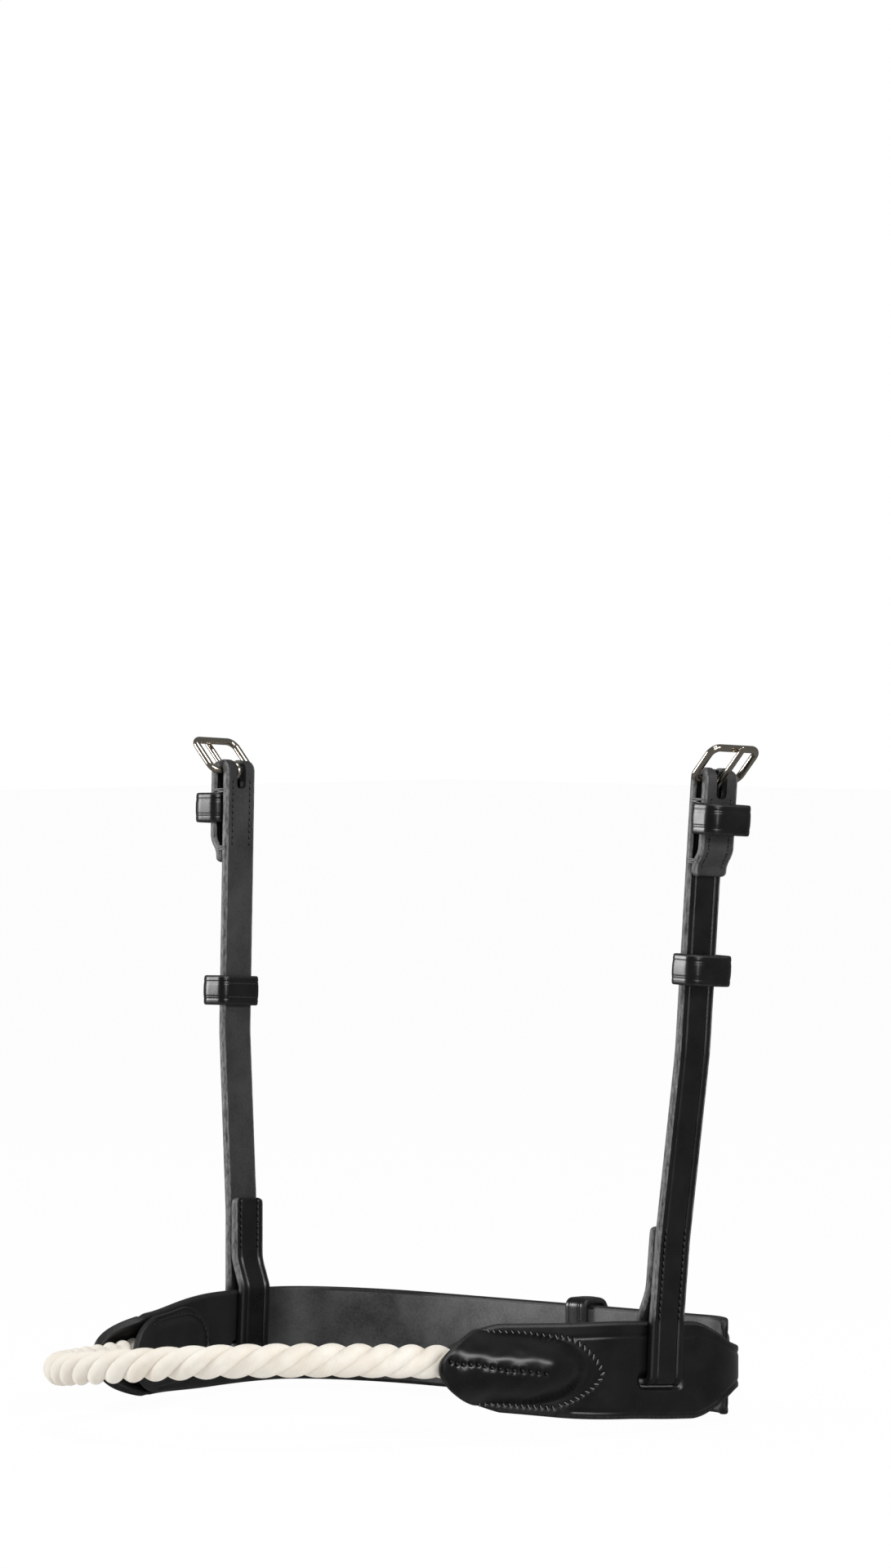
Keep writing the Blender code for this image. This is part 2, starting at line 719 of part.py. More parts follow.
def hanger_line():
    """The side view of a hanger strap, from the end of its turn-up to its turned-down end."""
    top_lean = math.radians(STRAP_TOP_LEAN_DEG)
    bar = Vector((BAR_OUT, BAR_LIFT))
    top_turn = Matrix.Rotation(-top_lean, 2)
    along = Vector((math.sin(top_lean), math.cos(top_lean)))
    run_top = bar + top_turn @ Vector((-FOLD_RADIUS, 0))
    high_bend = run_top - along * (BAR_LIFT - STRAP_HIGH_BEND)
    low_bend = Vector((RUN_OFFSET + STRAP_LOW_OUT, STRAP_LOW_BEND))
    band_top = BAND_HEIGHT / 2 + SLOT_DROP
    edge = Vector((RUN_OFFSET, band_top))
    rise = (low_bend - edge).normalized()
    beside = Vector((rise.y, -rise.x)) * LAYER_PITCH
    join = edge + rise * STRAP_JOIN_RISE - beside
    turn_up_end = edge + rise * TURN_UP_LENGTH - beside
    fold = fold_line(0, TURN_DOWN_LENGTH)
    corners = [
        turn_up_end,
        join,
        Vector((-RUN_OFFSET, band_top + EDGE_CLEARANCE)),
        Vector((-RUN_OFFSET, 0)),
        Vector((RUN_OFFSET, 0)),
        edge,
        low_bend,
        high_bend,
        run_top,
    ]
    radii = [
        STRAP_JOIN_RADIUS, STRAP_JOIN_RADIUS / 2, LOOP_CORNER, LOOP_CORNER,
        STRAP_JOIN_RADIUS, STRAP_BEND_RADIUS, STRAP_BEND_RADIUS,
    ]
    return rounded_corners(corners, radii) + [bar + top_turn @ point for point in fold[1:]]


def make_hanger(side, name, band, keeper_lift):
    pivot = place_empty(f"{name}_hanger_pivot", hanger_matrix(side))
    strap = strap_strip(
        f"{name}_hanger_strap", hanger_line(), STRAP_WIDTH, STRAP_THICKNESS, LEATHER, pivot)
    top_turn = Matrix.Rotation(math.radians(STRAP_TOP_LEAN_DEG), 4, "Y")
    bar_place = Matrix.Translation((BAR_OUT, 0, BAR_LIFT)) @ top_turn
    bar = place_empty(f"{name}_hanger_bar", bar_place, pivot)
    cut_slit(strap, bar)
    make_buckle(f"{name}_hanger", bar, HANGER_TILT_DEG)
    make_fixed_keeper(f"{name}_hanger_fixed_keeper", bar)

    keeper_drop = BAR_LIFT - keeper_lift
    keeper_place = bar_place @ Matrix.Translation((-FOLD_RADIUS, 0, -keeper_drop))
    slide = place_empty(f"{name}_hanger_keeper_slide", keeper_place, pivot)
    make_running_keeper(
        f"{name}_hanger_running_keeper", slide, KEEPER_WIDTH,
        STRAP_THICKNESS / 2 + SLIDE_GAP, STRAP_THICKNESS / 2 + SLIDE_GAP + BILLET_ROOM,
        STRAP_WIDTH / 2 + SLIDE_GAP)

    slot_size = (BAND_THICKNESS + 2 * CUT_OVERRUN, STRAP_WIDTH + 2 * SLOT_PLAY, SLOT_HEIGHT)
    box_cutter(f"{name}_slot", band, pivot, slot_size, Vector((0, 0, 0)), SLOT_CORNER)


# Rear fastening
def rear_matrix(x, out):
    """X out of the rear band, Y up and Z along it towards the near side."""
    plan = Vector((x, rear_y(x)))
    turn = REAR_BEND if x < REAR_BEND_X else 0.0
    axes = Matrix(((0, 0, 1, 0), (1, 0, 0, 0), (0, 1, 0, 0), (0, 0, 0, 1)))
    place = Matrix.Translation((plan.x, plan.y, ring_height(plan)))
    return place @ Matrix.Rotation(turn, 4, "Z") @ axes @ Matrix.Translation((out, 0, 0))


def rear_tilt_deg():
    """The tilt at which the far side of the frame just clears the billet that passes inside it."""
    tilt = 0.0
    for _ in range(12):
        ahead = FRAME_LENGTH * math.cos(tilt)
        here = tail_lift(BAR_DISTANCE - ahead)
        slope = math.atan((tail_lift(BAR_DISTANCE - ahead + WIRE_RADIUS) - here) / WIRE_RADIUS)
        room = (BAND_THICKNESS / 2 + SLIDE_GAP + WIRE_RADIUS) / math.cos(slope)
        lift = TAIL_OFFSET + here + room - REAR_BAR_OUT
        tilt = math.asin(min(max(lift / FRAME_LENGTH, 0.0), 0.9))
    return math.degrees(tilt)


def make_rear(near_band):
    bar = place_empty("rear_bar", rear_matrix(REAR_BAR_X, REAR_BAR_OUT))
    chape = strap_strip(
        "rear_buckle_chape", fold_line(CHAPE_LENGTH, REAR_TURN_DOWN), STRAP_WIDTH, STRAP_THICKNESS,
        LEATHER, bar)
    cut_slit(chape, bar)
    tilted = make_buckle("rear", bar, rear_tilt_deg())
    make_fixed_keeper("rear_fixed_keeper", bar)
    slide = place_empty("rear_keeper_slide", rear_matrix(REAR_KEEPER_X, 0))
    make_running_keeper(
        "rear_running_keeper", slide, REAR_KEEPER_WIDTH,
        BAND_THICKNESS / 2 + SLIDE_GAP, BAND_THICKNESS / 2 + BILLET_ROOM,
        BAND_HEIGHT / 2 + SLIDE_GAP)

    tongue_aim = Matrix.Rotation(math.radians(TONGUE_HOLE_AIM_DEG), 4, "Y")
    tongue_place = Matrix.Translation((TONGUE_OFFSET, 0, FRAME_LENGTH / 2))
    hole_cutter(
        "tongue_hole", near_band, tilted, TONGUE_RADIUS + TONGUE_HOLE_PLAY, FRAME_LENGTH * 1.5,
        tongue_aim @ tongue_place)
    for index in range(BILLET_SPARE_HOLES):
        x = REAR_BAR_X - BILLET_HOLE_PITCH * (index + 1)
        spare = place_empty(f"billet_hole_{index + 1}_place", rear_matrix(x, 0))
        hole_cutter(
            f"billet_hole_{index + 1}", near_band, spare, BILLET_HOLE_RADIUS,
            2 * (TAIL_RISE + TAIL_OFFSET + BAND_THICKNESS), Matrix.Rotation(math.radians(90), 4, "Y"))


for old in list(bpy.data.objects):
    bpy.data.objects.remove(old)

NOSEBAND = new_collection("bridle_noseband")
CUTTERS = new_collection("cutters")
LEATHER = material("black_bridle_leather", (0.012, 0.012, 0.013), 0.35)
COTTON = material("cotton_rope", (0.84, 0.79, 0.70), 0.85)
STEEL = material("stainless_steel", (0.62, 0.60, 0.57), 0.18, 1.0)

make_rope()
NEAR_BAND, OFF_BAND = make_bands()
make_hanger(1, "near", NEAR_BAND, NEAR_KEEPER_LIFT)
make_hanger(-1, "off", OFF_BAND, OFF_KEEPER_LIFT)
make_rear(NEAR_BAND)
bpy.context.view_layer.update()
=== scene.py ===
# %% [markdown]
# # A rope-front noseband, dressed for a studio picture
#
# The noseband is the part of a bridle that goes round the horse's nose. This one has a rope at the
# front, two black leather bands at the sides and back, and two hanger straps with small buckles.
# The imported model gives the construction. This lesson gives it its leather, rope, steel and thread.
# It starts with the frame, the fixed model that every new piece is built around.
# %% Load the frame
import math

import bpy
import numpy as np
from mathutils import Matrix, Vector


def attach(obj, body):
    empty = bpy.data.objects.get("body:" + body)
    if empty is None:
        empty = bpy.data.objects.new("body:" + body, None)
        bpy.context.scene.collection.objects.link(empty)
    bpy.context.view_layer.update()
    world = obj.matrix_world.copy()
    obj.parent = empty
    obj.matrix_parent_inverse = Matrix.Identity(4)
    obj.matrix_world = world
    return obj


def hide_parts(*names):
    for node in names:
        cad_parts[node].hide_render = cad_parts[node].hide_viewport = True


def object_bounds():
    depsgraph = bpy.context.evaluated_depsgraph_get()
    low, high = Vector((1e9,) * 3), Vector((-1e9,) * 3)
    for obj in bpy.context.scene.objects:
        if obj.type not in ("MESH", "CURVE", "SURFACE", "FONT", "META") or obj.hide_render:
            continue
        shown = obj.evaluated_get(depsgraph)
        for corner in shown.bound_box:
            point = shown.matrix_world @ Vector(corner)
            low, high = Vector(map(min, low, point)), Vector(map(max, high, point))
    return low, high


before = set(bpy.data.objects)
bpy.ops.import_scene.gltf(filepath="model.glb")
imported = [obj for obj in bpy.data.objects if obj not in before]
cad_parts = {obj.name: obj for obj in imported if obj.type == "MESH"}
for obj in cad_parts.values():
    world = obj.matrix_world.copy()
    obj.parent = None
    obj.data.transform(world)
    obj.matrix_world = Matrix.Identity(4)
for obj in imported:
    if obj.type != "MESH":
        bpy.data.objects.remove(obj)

CAD_BOX = [list(corner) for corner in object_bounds()]
print("CAD box in mm:", [[round(value * 1000, 1) for value in corner] for corner in CAD_BOX])

# %% [markdown]
# ## Camera
#
# The picture was taken with a long lens from 2.8 m away, level with the cheek straps and 45 degrees
# round to the near side of the horse. A long lens flattens depth, so the two hangers look almost
# equally large. The focal length comes from the size of the picture on the 36 mm side of the sensor.
# %% Camera
CAMERA_AZIMUTH = math.radians(45)
CAMERA_PITCH = math.radians(1.44)
CAMERA_DISTANCE = 2.792
CAMERA_AIM_HEIGHT = 0.1874
CAMERA_AIM_RIGHT = -0.0004
CAMERA_LENS_MM = 194.8

right = Vector((math.cos(CAMERA_AZIMUTH), math.sin(CAMERA_AZIMUTH), 0))
level = math.cos(CAMERA_PITCH)
forward = Vector((-right.y * level, right.x * level, -math.sin(CAMERA_PITCH)))
aim_point = right * CAMERA_AIM_RIGHT + Vector((0, 0, CAMERA_AIM_HEIGHT))
camera_data = bpy.data.cameras.new("camera")
camera_data.lens = CAMERA_LENS_MM
camera = bpy.data.objects.new("camera", camera_data)
camera.location = aim_point - forward * CAMERA_DISTANCE
camera.rotation_euler = forward.to_track_quat("-Z", "Y").to_euler()
bpy.context.scene.collection.objects.link(camera)
bpy.context.scene.camera = camera
bpy.context.scene.view_settings.view_transform = "Standard"

# %% [markdown]
# ## Nodes and colours
#
# Every finish below is a small tree of shader nodes. One function adds a node, sets its values and
# links its inputs, so a tree reads as a list of what feeds what. Colours are written as they look on
# a screen, and Blender mixes light in linear values, so another function converts them.
# %% Node and colour helpers
def linear(hex_colour):
    """A screen colour such as "2a2a2a" as the linear colour that shaders take."""
    parts = [int(hex_colour[start:start + 2], 16) / 255 for start in (0, 2, 4)]
    return [part / 12.92 if part <= 0.04045 else ((part + 0.055) / 1.055) ** 2.4 for part in parts] + [1]


def node(tree, kind, inputs=None, **settings):
    """Add a node, set it up, and link or fill its inputs."""
    made = tree.nodes.new(kind)
    for name, value in settings.items():
        setattr(made, name, value)
    for name, value in (inputs or {}).items():
        if isinstance(value, bpy.types.NodeSocket):
            tree.links.new(value, made.inputs[name])
        else:
            made.inputs[name].default_value = value
    return made


def blend_colours(tree, share, low, high):
    """Two colours mixed by a share, as a colour socket."""
    mixed = node(tree, "ShaderNodeMix", data_type="RGBA")
    tree.links.new(share, mixed.inputs[0])
    for index, value in ((6, low), (7, high)):
        if isinstance(value, bpy.types.NodeSocket):
            tree.links.new(value, mixed.inputs[index])
        else:
            mixed.inputs[index].default_value = value
    return mixed.outputs[2]


def remap(tree, value, low, high, to_low=0.0, to_high=1.0):
    """A value stretched from one range to another and held inside it."""
    made = node(tree, "ShaderNodeMapRange", {"Value": value, "From Min": low, "From Max": high,
                                             "To Min": to_low, "To Max": to_high})
    return made.outputs["Result"]


def calculate(tree, operation, *values):
    """A Math node on sockets or numbers, as a socket."""
    return node(tree, "ShaderNodeMath", dict(enumerate(values)), operation=operation).outputs[0]


def noise(tree, place, scale, detail, roughness=0.5):
    """Cloudy noise from 0 to 1."""
    made = node(tree, "ShaderNodeTexNoise", {"Vector": place, "Scale": scale, "Detail": detail,
                                             "Roughness": roughness})
    return made.outputs["Fac"]


def uv_parts(tree):
    """The two values of a piece's UV map: along it, and across or round it."""
    parts = node(tree, "ShaderNodeSeparateXYZ", {"Vector": node(tree, "ShaderNodeUVMap").outputs["UV"]})
    return parts.outputs["X"], parts.outputs["Y"]


def emboss(tree, shader, height, strength, distance):
    """Fine relief from a height."""
    bump = node(tree, "ShaderNodeBump", {"Height": height, "Strength": strength, "Distance": distance})
    tree.links.new(bump.outputs["Normal"], shader.inputs["Normal"])


def new_finish(name):
    """An empty material with its shader."""
    finish = bpy.data.materials.new(name)
    finish.use_nodes = True
    return finish, finish.node_tree, finish.node_tree.nodes["Principled BSDF"]


# %% [markdown]
# ## Black bridle leather, grain side
#
# Bridle leather is vegetable-tanned cattle hide, dyed black, stuffed with wax and polished. The
# grain side is close and smooth: its pores are under half a millimetre apart and show where light grazes.
# Dye and wax vary a little over centimetres, which gives the black some life, and the rubbed edges
# are slightly greyer. The look needs a dark base, a medium roughness and a very small bump.
# %% Grain leather
MM = 0.001
PORE_SPACING = 0.45 * MM
WAX_PATCH = 9 * MM
RUBBED_REACH = 1.6 * MM


def make_grain():
    finish, tree, shader = new_finish("waxed_bridle_leather_grain")
    place = node(tree, "ShaderNodeTexCoord").outputs["Object"]
    pores = node(tree, "ShaderNodeTexVoronoi", {"Vector": place, "Scale": 1 / PORE_SPACING})
    fibres = noise(tree, place, 0.4 / PORE_SPACING, 4)
    patches = noise(tree, place, 1 / WAX_PATCH, 3)
    edge = node(tree, "ShaderNodeAttribute", attribute_name="from_edge").outputs["Fac"]
    dyed = blend_colours(tree, remap(tree, patches, 0.35, 0.65), linear("070707"), linear("0e0e0f"))
    rubbed = remap(tree, edge, 0.0, RUBBED_REACH, 0.55, 0.0)
    tree.links.new(blend_colours(tree, rubbed, dyed, linear("151515")), shader.inputs["Base Color"])
    tree.links.new(remap(tree, patches, 0.3, 0.7, 0.24, 0.34), shader.inputs["Roughness"])
    emboss(tree, shader, calculate(tree, "ADD", pores.outputs["Distance"], fibres), 0.10, 0.05 * MM)
    return finish


GRAIN = make_grain()

# %% [markdown]
# ## Flesh side and cut edge
#
# The back of the hide is the flesh side. It is dyed too, but its loose fibres scatter light, so it
# looks dark grey and dull. The cut edge shows the middle of the hide: it is stained, rubbed and
# waxed, and its fibres' glints are painted into its colour as small pale flecks. Each finish can
# change along a piece: a band's flesh side has painted shade at the front and a lighter painted
# sheen further back, and a strap's edge has painted shade where it lies in its slot.
# %% Flesh leather and cut edge
FLESH_FIBRE = 0.8 * MM
EDGE_FLECK = 0.9 * MM
SHADE_FADE = 3 * MM
RAW_EDGE = "222222", "7c7c7c"


def make_flesh(name, low, high, painted_shade_to_sheen=None):
    """The last argument gives two distances along, between which the flesh goes from painted shade to a
    lighter painted sheen.
    """
    finish, tree, shader = new_finish(name)
    place = node(tree, "ShaderNodeTexCoord").outputs["Object"]
    nap = noise(tree, place, 1 / FLESH_FIBRE, 5, 0.7)
    shade = remap(tree, calculate(tree, "ADD", nap, noise(tree, place, 90, 3)), 0.75, 1.25)
    dark, pale = linear(low), linear(high)
    if painted_shade_to_sheen:
        # Painted shade at the front, blending into the lighter painted sheen further along.
        sheen_share = remap(tree, uv_parts(tree)[0], *painted_shade_to_sheen)
        dark, pale = (blend_colours(tree, sheen_share, linear(shade_hex), colour)
                      for shade_hex, colour in (("0d0d0d", dark), ("161616", pale)))
    tree.links.new(blend_colours(tree, shade, dark, pale), shader.inputs["Base Color"])
    shader.inputs["Roughness"].default_value = 0.48
    emboss(tree, shader, nap, 0.5, 0.12 * MM)
    return finish


def make_cut_edge(name, low, high, painted_shade_span=None):
    """The last argument gives a distance along, and a reach to both sides of it where the edge gets painted
    shade.
    """
    finish, tree, shader = new_finish(name)
    place = node(tree, "ShaderNodeTexCoord").outputs["Object"]
    stretched = node(tree, "ShaderNodeMapping", {"Vector": place, "Scale": (1, 1, 0.25)})
    fleck = noise(tree, stretched.outputs[0], 1 / EDGE_FLECK, 5, 0.75)
    # The pale flecks are painted glints of the fibres; the dark base is the stained edge.
    colour = blend_colours(tree, remap(tree, fleck, 0.36, 0.70), linear(low), linear(high))
    if painted_shade_span:
        # Painted shade: the edge is darkened to near black within the reach.
        middle, reach = painted_shade_span
        away = calculate(tree, "ABSOLUTE", calculate(tree, "SUBTRACT", uv_parts(tree)[0], middle))
        colour = blend_colours(tree, remap(tree, away, reach, reach + SHADE_FADE), linear("0c0c0c"), colour)
    tree.links.new(colour, shader.inputs["Base Color"])
    shader.inputs["Roughness"].default_value = 0.5
    emboss(tree, shader, fleck, 0.6, 0.18 * MM)
    return finish


FLESH = make_flesh("dyed_leather_flesh_side", "232323", "383838")
# The bands' flesh side: painted shade in front, and a lighter painted sheen further back.
BAND_FLESH = make_flesh("band_flesh_side_with_painted_shade_and_sheen", "353535", "5a5a5a", (0.084, 0.150))
LINING_GRAIN = make_flesh("unwaxed_lining_leather", "0e0e0e", "1b1b1b")
CUT_EDGE = make_cut_edge("raw_leather_cut_edge_with_painted_glints", *RAW_EDGE)
DARK_EDGE = make_cut_edge("burnished_leather_cut_edge", "0a0a0a", "262626")

# %% [markdown]
# ## Cotton rope
#
# The rope is soft white cotton. Each strand is a bundle of twisted yarns, and the yarns lie almost
# along the rope. The pattern runs on the strand's own UV map: U goes along the strand and V round
# it. Adding the two slants the yarn lines, by the angle at which the strands are laid.
# %% Cotton
YARNS_ROUND = 12
YARN_SLANT = 34


def make_cotton():
    finish, tree, shader = new_finish("laid_cotton_rope")
    place = node(tree, "ShaderNodeTexCoord").outputs["Object"]
    along, around = uv_parts(tree)
    turn = calculate(tree, "ADD", calculate(tree, "MULTIPLY", along, YARN_SLANT), around)
    yarns = calculate(tree, "SINE", calculate(tree, "MULTIPLY", turn, 2 * math.pi * YARNS_ROUND))
    fuzz = noise(tree, place, 2200, 4, 0.7)
    shade = remap(tree, noise(tree, place, 130, 2), 0.3, 0.7)
    colour = blend_colours(tree, shade, linear("d7cfc2"), linear("dfdad1"))
    tree.links.new(colour, shader.inputs["Base Color"])
    shader.inputs["Roughness"].default_value = 0.9
    shader.inputs["Specular IOR Level"].default_value = 0.2
    shader.inputs["Sheen Weight"].default_value = 0.15
    emboss(tree, shader, calculate(tree, "MULTIPLY_ADD", yarns, 0.35, fuzz), 0.35, 0.12 * MM)
    return finish


COTTON = make_cotton()

# %% [markdown]
# ## Stainless steel and waxed thread
#
# The buckles are bent from stainless wire and polished, so they mirror the room: a low roughness
# and full metallic value do most of it, with faint rub marks. The thread is black linen drawn
# through wax. It is smoother than the leather's edge and each stitch catches a point of light. On
# the pocket seams the black thread is painted grey, as a painted highlight.
# %% Steel and thread
def make_steel():
    finish, tree, shader = new_finish("polished_stainless_steel")
    place = node(tree, "ShaderNodeTexCoord").outputs["Object"]
    shader.inputs["Base Color"].default_value = linear("bdb5a8")
    shader.inputs["Metallic"].default_value = 1.0
    tree.links.new(remap(tree, noise(tree, place, 900, 4), 0.3, 0.7, 0.1, 0.22), shader.inputs["Roughness"])
    return finish


def make_thread(name, colour):
    finish, tree, shader = new_finish(name)
    place = node(tree, "ShaderNodeTexCoord").outputs["Object"]
    shader.inputs["Base Color"].default_value = linear(colour)
    shader.inputs["Roughness"].default_value = 0.38
    emboss(tree, shader, noise(tree, place, 4000, 2), 0.4, 0.05 * MM)
    return finish


STEEL = make_steel()
THREAD = make_thread("black_waxed_linen_thread", "262626")
# The pocket seams' black thread, painted grey as a highlight.
THREAD_PAINTED_WITH_HIGHLIGHT = make_thread("black_thread_painted_grey_as_highlight", "686868")
PALE_THREAD = make_thread("grey_waxed_linen_thread", "6a6a6a")

# %% [markdown]
# ## Lines that leather and rope follow
#
# A strap is easiest to think of flat on the bench: a distance along it and a height across it. A
# line then says where each distance lies in space. This class holds a line as many close points and
# reads its place and direction at any distance.
# %% Lines
class Line:
    """Close points, read by the distance along them."""

    def __init__(self, points):
        points = np.array(points, float)
        steps = np.linalg.norm(np.diff(points, axis=0), axis=1)
        self.points = points[np.r_[True, steps > 1e-8]]
        steps = np.linalg.norm(np.diff(self.points, axis=0), axis=1)
        self.distances = np.r_[0, np.cumsum(steps)]
        self.length = self.distances[-1]
        aims = np.gradient(self.points, self.distances, axis=0)
        self.aims = aims / np.linalg.norm(aims, axis=1, keepdims=True)

    def at(self, distance):
        read = [np.interp(distance, self.distances, column) for column in (*self.points.T, *self.aims.T)]
        size = self.points.shape[1]
        point, aim = np.stack(read[:size], -1), np.stack(read[size:], -1)
        return point, aim / np.linalg.norm(aim, axis=-1, keepdims=True)


def heading(degrees):
    return np.array((math.sin(math.radians(degrees)), math.cos(math.radians(degrees))))


def right_of(aim):
    return np.stack((aim[..., 1], -aim[..., 0]), -1)


def curve_between(start, start_aim, end, end_aim, shares, steps=240):
    """A smooth curve with given directions at both ends."""
    span = np.linalg.norm(end - start)
    first, second = start + start_aim * span * shares[0], end - end_aim * span * shares[1]
    t = np.linspace(0, 1, steps)[:, None]
    return start * (1 - t) ** 3 + first * 3 * t * (1 - t) ** 2 + second * 3 * t * t * (1 - t) + end * t ** 3


def arc(centre, radius, start_deg, end_deg, steps=90):
    angles = np.radians(np.linspace(start_deg, end_deg, steps))
    return centre + radius * np.stack((np.cos(angles), np.sin(angles)), -1)


def rounded(corners, radii, step_deg=6):
    """A flat line through corners, each rounded by an arc of its radius."""
    points = [np.array(corners[0], float)]
    for before, corner, after, radius in zip(corners, corners[1:], corners[2:], radii):
        before, corner, after = (np.array(point, float) for point in (before, corner, after))
        arriving = (corner - before) / np.linalg.norm(corner - before)
        leaving = (after - corner) / np.linalg.norm(after - corner)
        turn = math.atan2(arriving[0] * leaving[1] - arriving[1] * leaving[0], arriving @ leaving)
        start = corner - arriving * radius * math.tan(abs(turn) / 2)
        side = np.array((-arriving[1], arriving[0])) * math.copysign(1, turn)
        centre = start + side * radius
        for share in np.linspace(0, 1, max(3, round(math.degrees(abs(turn)) / step_deg))):
            angle = turn * share
            spoke = start - centre
            points.append(centre + np.array((spoke[0] * math.cos(angle) - spoke[1] * math.sin(angle),
                                             spoke[0] * math.sin(angle) + spoke[1] * math.cos(angle))))
    return np.array(points + [np.array(corners[-1], float)])


def smooth(share):
    share = np.clip(share, 0, 1)
    return share * share * (3 - 2 * share)


# %% [markdown]
# ## The plan of the loop
#
# Seen from above, the loop is a rounded box: two flat cheeks where the hangers are sewn in, a
# straight rear that bends a little beside its keeper, and the rope that bows out to the nose. The
# values repeat those of the construction, in metres, so that every new piece lands on its own node.
# %% Plan of the loop
BAND_HEIGHT, BAND_THICKNESS = 0.0315, 0.0030
LINING_THICKNESS = 0.0020
SEAT_GAP = 0.0003
HANGER_HALF_SPAN = 0.096
SIDE_FLAT = 0.024
TIP = np.array((0.0693, -0.080))
TIP_AIM, SIDE_AIM = heading(18), heading(4)
HANGER = np.array((HANGER_HALF_SPAN, 0))
REAR_REACH = 0.0432
REAR_BAR_X = HANGER_HALF_SPAN - 0.034
REAR_BEND_X = REAR_BAR_X - 0.034
REAR_KEEPER_X = REAR_BAR_X - 0.0415
REAR_BEND = math.radians(1.5)
REAR_AIM = np.array((-math.cos(REAR_BEND), -math.sin(REAR_BEND)))
BILLET_PAST_BUCKLE = 0.070
NEAR_CORNER_RADIUS = 0.0208
OFF_CORNER_END_X = HANGER_HALF_SPAN - 0.046
OFF_END_SWEEP_DEG = 58
TAIL_OFFSET = BAND_THICKNESS + SEAT_GAP

flat_front, flat_rear = HANGER - SIDE_AIM * SIDE_FLAT / 2, HANGER + SIDE_AIM * SIDE_FLAT / 2
side_curve = curve_between(TIP, TIP_AIM, flat_front, SIDE_AIM, (0.33, 0.33))
SIDE = np.vstack((side_curve, flat_rear))
MIRROR = np.array((-1, 1))


def rear_y(x):
    return REAR_REACH - max(REAR_BEND_X - x, 0) * math.tan(REAR_BEND)


def corner_centre(line_y, radius):
    outward = right_of(SIDE_AIM)
    along = (line_y - radius + radius * outward[1]) / SIDE_AIM[1]
    return HANGER + SIDE_AIM * along - outward * radius


tail_y = REAR_REACH + TAIL_OFFSET
near_centre = corner_centre(tail_y, NEAR_CORNER_RADIUS)
near_bend = np.array((REAR_BEND_X, tail_y))
near_end = near_bend + REAR_AIM * (BILLET_PAST_BUCKLE - (REAR_BAR_X - REAR_BEND_X))
NEAR_LINE = Line(np.vstack((SIDE, arc(near_centre, NEAR_CORNER_RADIUS, -4, 90), near_bend, near_end)))
off_corner = curve_between(flat_rear, SIDE_AIM, np.array((OFF_CORNER_END_X, rear_y(-OFF_CORNER_END_X))),
                           REAR_AIM * (1, -1), (0.32, 0.45))
off_end = arc(near_centre, NEAR_CORNER_RADIUS - TAIL_OFFSET, 90, 90 - OFF_END_SWEEP_DEG)
OFF_LINE = Line(np.vstack((SIDE * MIRROR, off_corner * MIRROR, (REAR_BEND_X, REAR_REACH), off_end)))
HANGER_DISTANCE = Line(SIDE).length - SIDE_FLAT / 2
print("near band", round(NEAR_LINE.length * 1000, 1), "mm, off band", round(OFF_LINE.length * 1000, 1), "mm")

# %% [markdown]
# ## A skin from a grid
#
# Leather, strands and wires are all one closed skin: stations along the piece, and a loop of points
# round it at each station. A grid from the Add menu already has such rows and columns, so the grid
# is added with the right number of them, its points are moved to their places, and its two long
# sides are merged where they meet. The grid's own UV map is refilled with real distances in metres.
# %% Skin helper
MERGE_DISTANCE = 1e-6


def take_over(piece, body, source):
    """Let a piece move with a body and stand for a node of the construction."""
    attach(piece, body)
    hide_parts(source)


def skin(name, points, uv, finishes, row_finish=None, from_edge=None):
    """A closed skin. points is stations by loop by 3, and the last loop point repeats the first."""
    stations, around = points.shape[:2]
    bpy.ops.object.select_all(action="DESELECT")
    bpy.ops.mesh.primitive_grid_add(x_subdivisions=stations - 1, y_subdivisions=around - 1, size=2)
    piece = bpy.context.object
    piece.name = piece.data.name = name
    mesh = piece.data
    flat = np.empty(len(mesh.vertices) * 3)
    mesh.vertices.foreach_get("co", flat)
    flat = flat.reshape(-1, 3)
    column = np.rint((flat[:, 0] + 1) / 2 * (stations - 1)).astype(int)
    row = np.rint((flat[:, 1] + 1) / 2 * (around - 1)).astype(int)
    centres = np.empty(len(mesh.polygons) * 3)
    mesh.polygons.foreach_get("center", centres)
    face_row = np.floor((centres.reshape(-1, 3)[:, 1] + 1) / 2 * (around - 1)).astype(int)
    corner_vertex = np.empty(len(mesh.loops), int)
    mesh.loops.foreach_get("vertex_index", corner_vertex)
    mesh.vertices.foreach_set("co", points[column, row].ravel())
    mesh.uv_layers[0].data.foreach_set("uv", uv[column, row][corner_vertex].ravel())
    for finish in finishes:
        mesh.materials.append(finish)
    if row_finish is not None:
        mesh.polygons.foreach_set("material_index", np.asarray(row_finish)[face_row])
    if from_edge is not None:
        layer = mesh.attributes.new("from_edge", "FLOAT", "POINT")
        layer.data.foreach_set("value", from_edge[column, row])
    bpy.ops.object.mode_set(mode="EDIT")
    bpy.ops.mesh.select_all(action="SELECT")
    bpy.ops.mesh.remove_doubles(threshold=MERGE_DISTANCE)
    bpy.ops.mesh.normals_make_consistent(inside=False)
    bpy.ops.object.mode_set(mode="OBJECT")
    bpy.ops.object.shade_smooth()
    print(name, len(mesh.polygons), "faces")
    return piece


# %% [markdown]
# ## Leather with two sides and a rounded cut edge
#
# Cut leather has a grain side, a flesh side and an edge that the maker bevels and rubs round. The
# cross-section here goes once round the strap: across the grain, over one edge, back across the
# flesh and over the other edge. Points crowd near the edges, where a creased line will be pressed
# in. At its ends the strap thins to nothing within half its thickness, so its ends are round too.
# %% Leather helper
EDGE_STEPS = 6
EDGE_SQUARENESS = 0.65
NUDGE = 0.00008


def unit(vectors):
    return vectors / np.maximum(np.linalg.norm(vectors, axis=-1, keepdims=True), 1e-12)


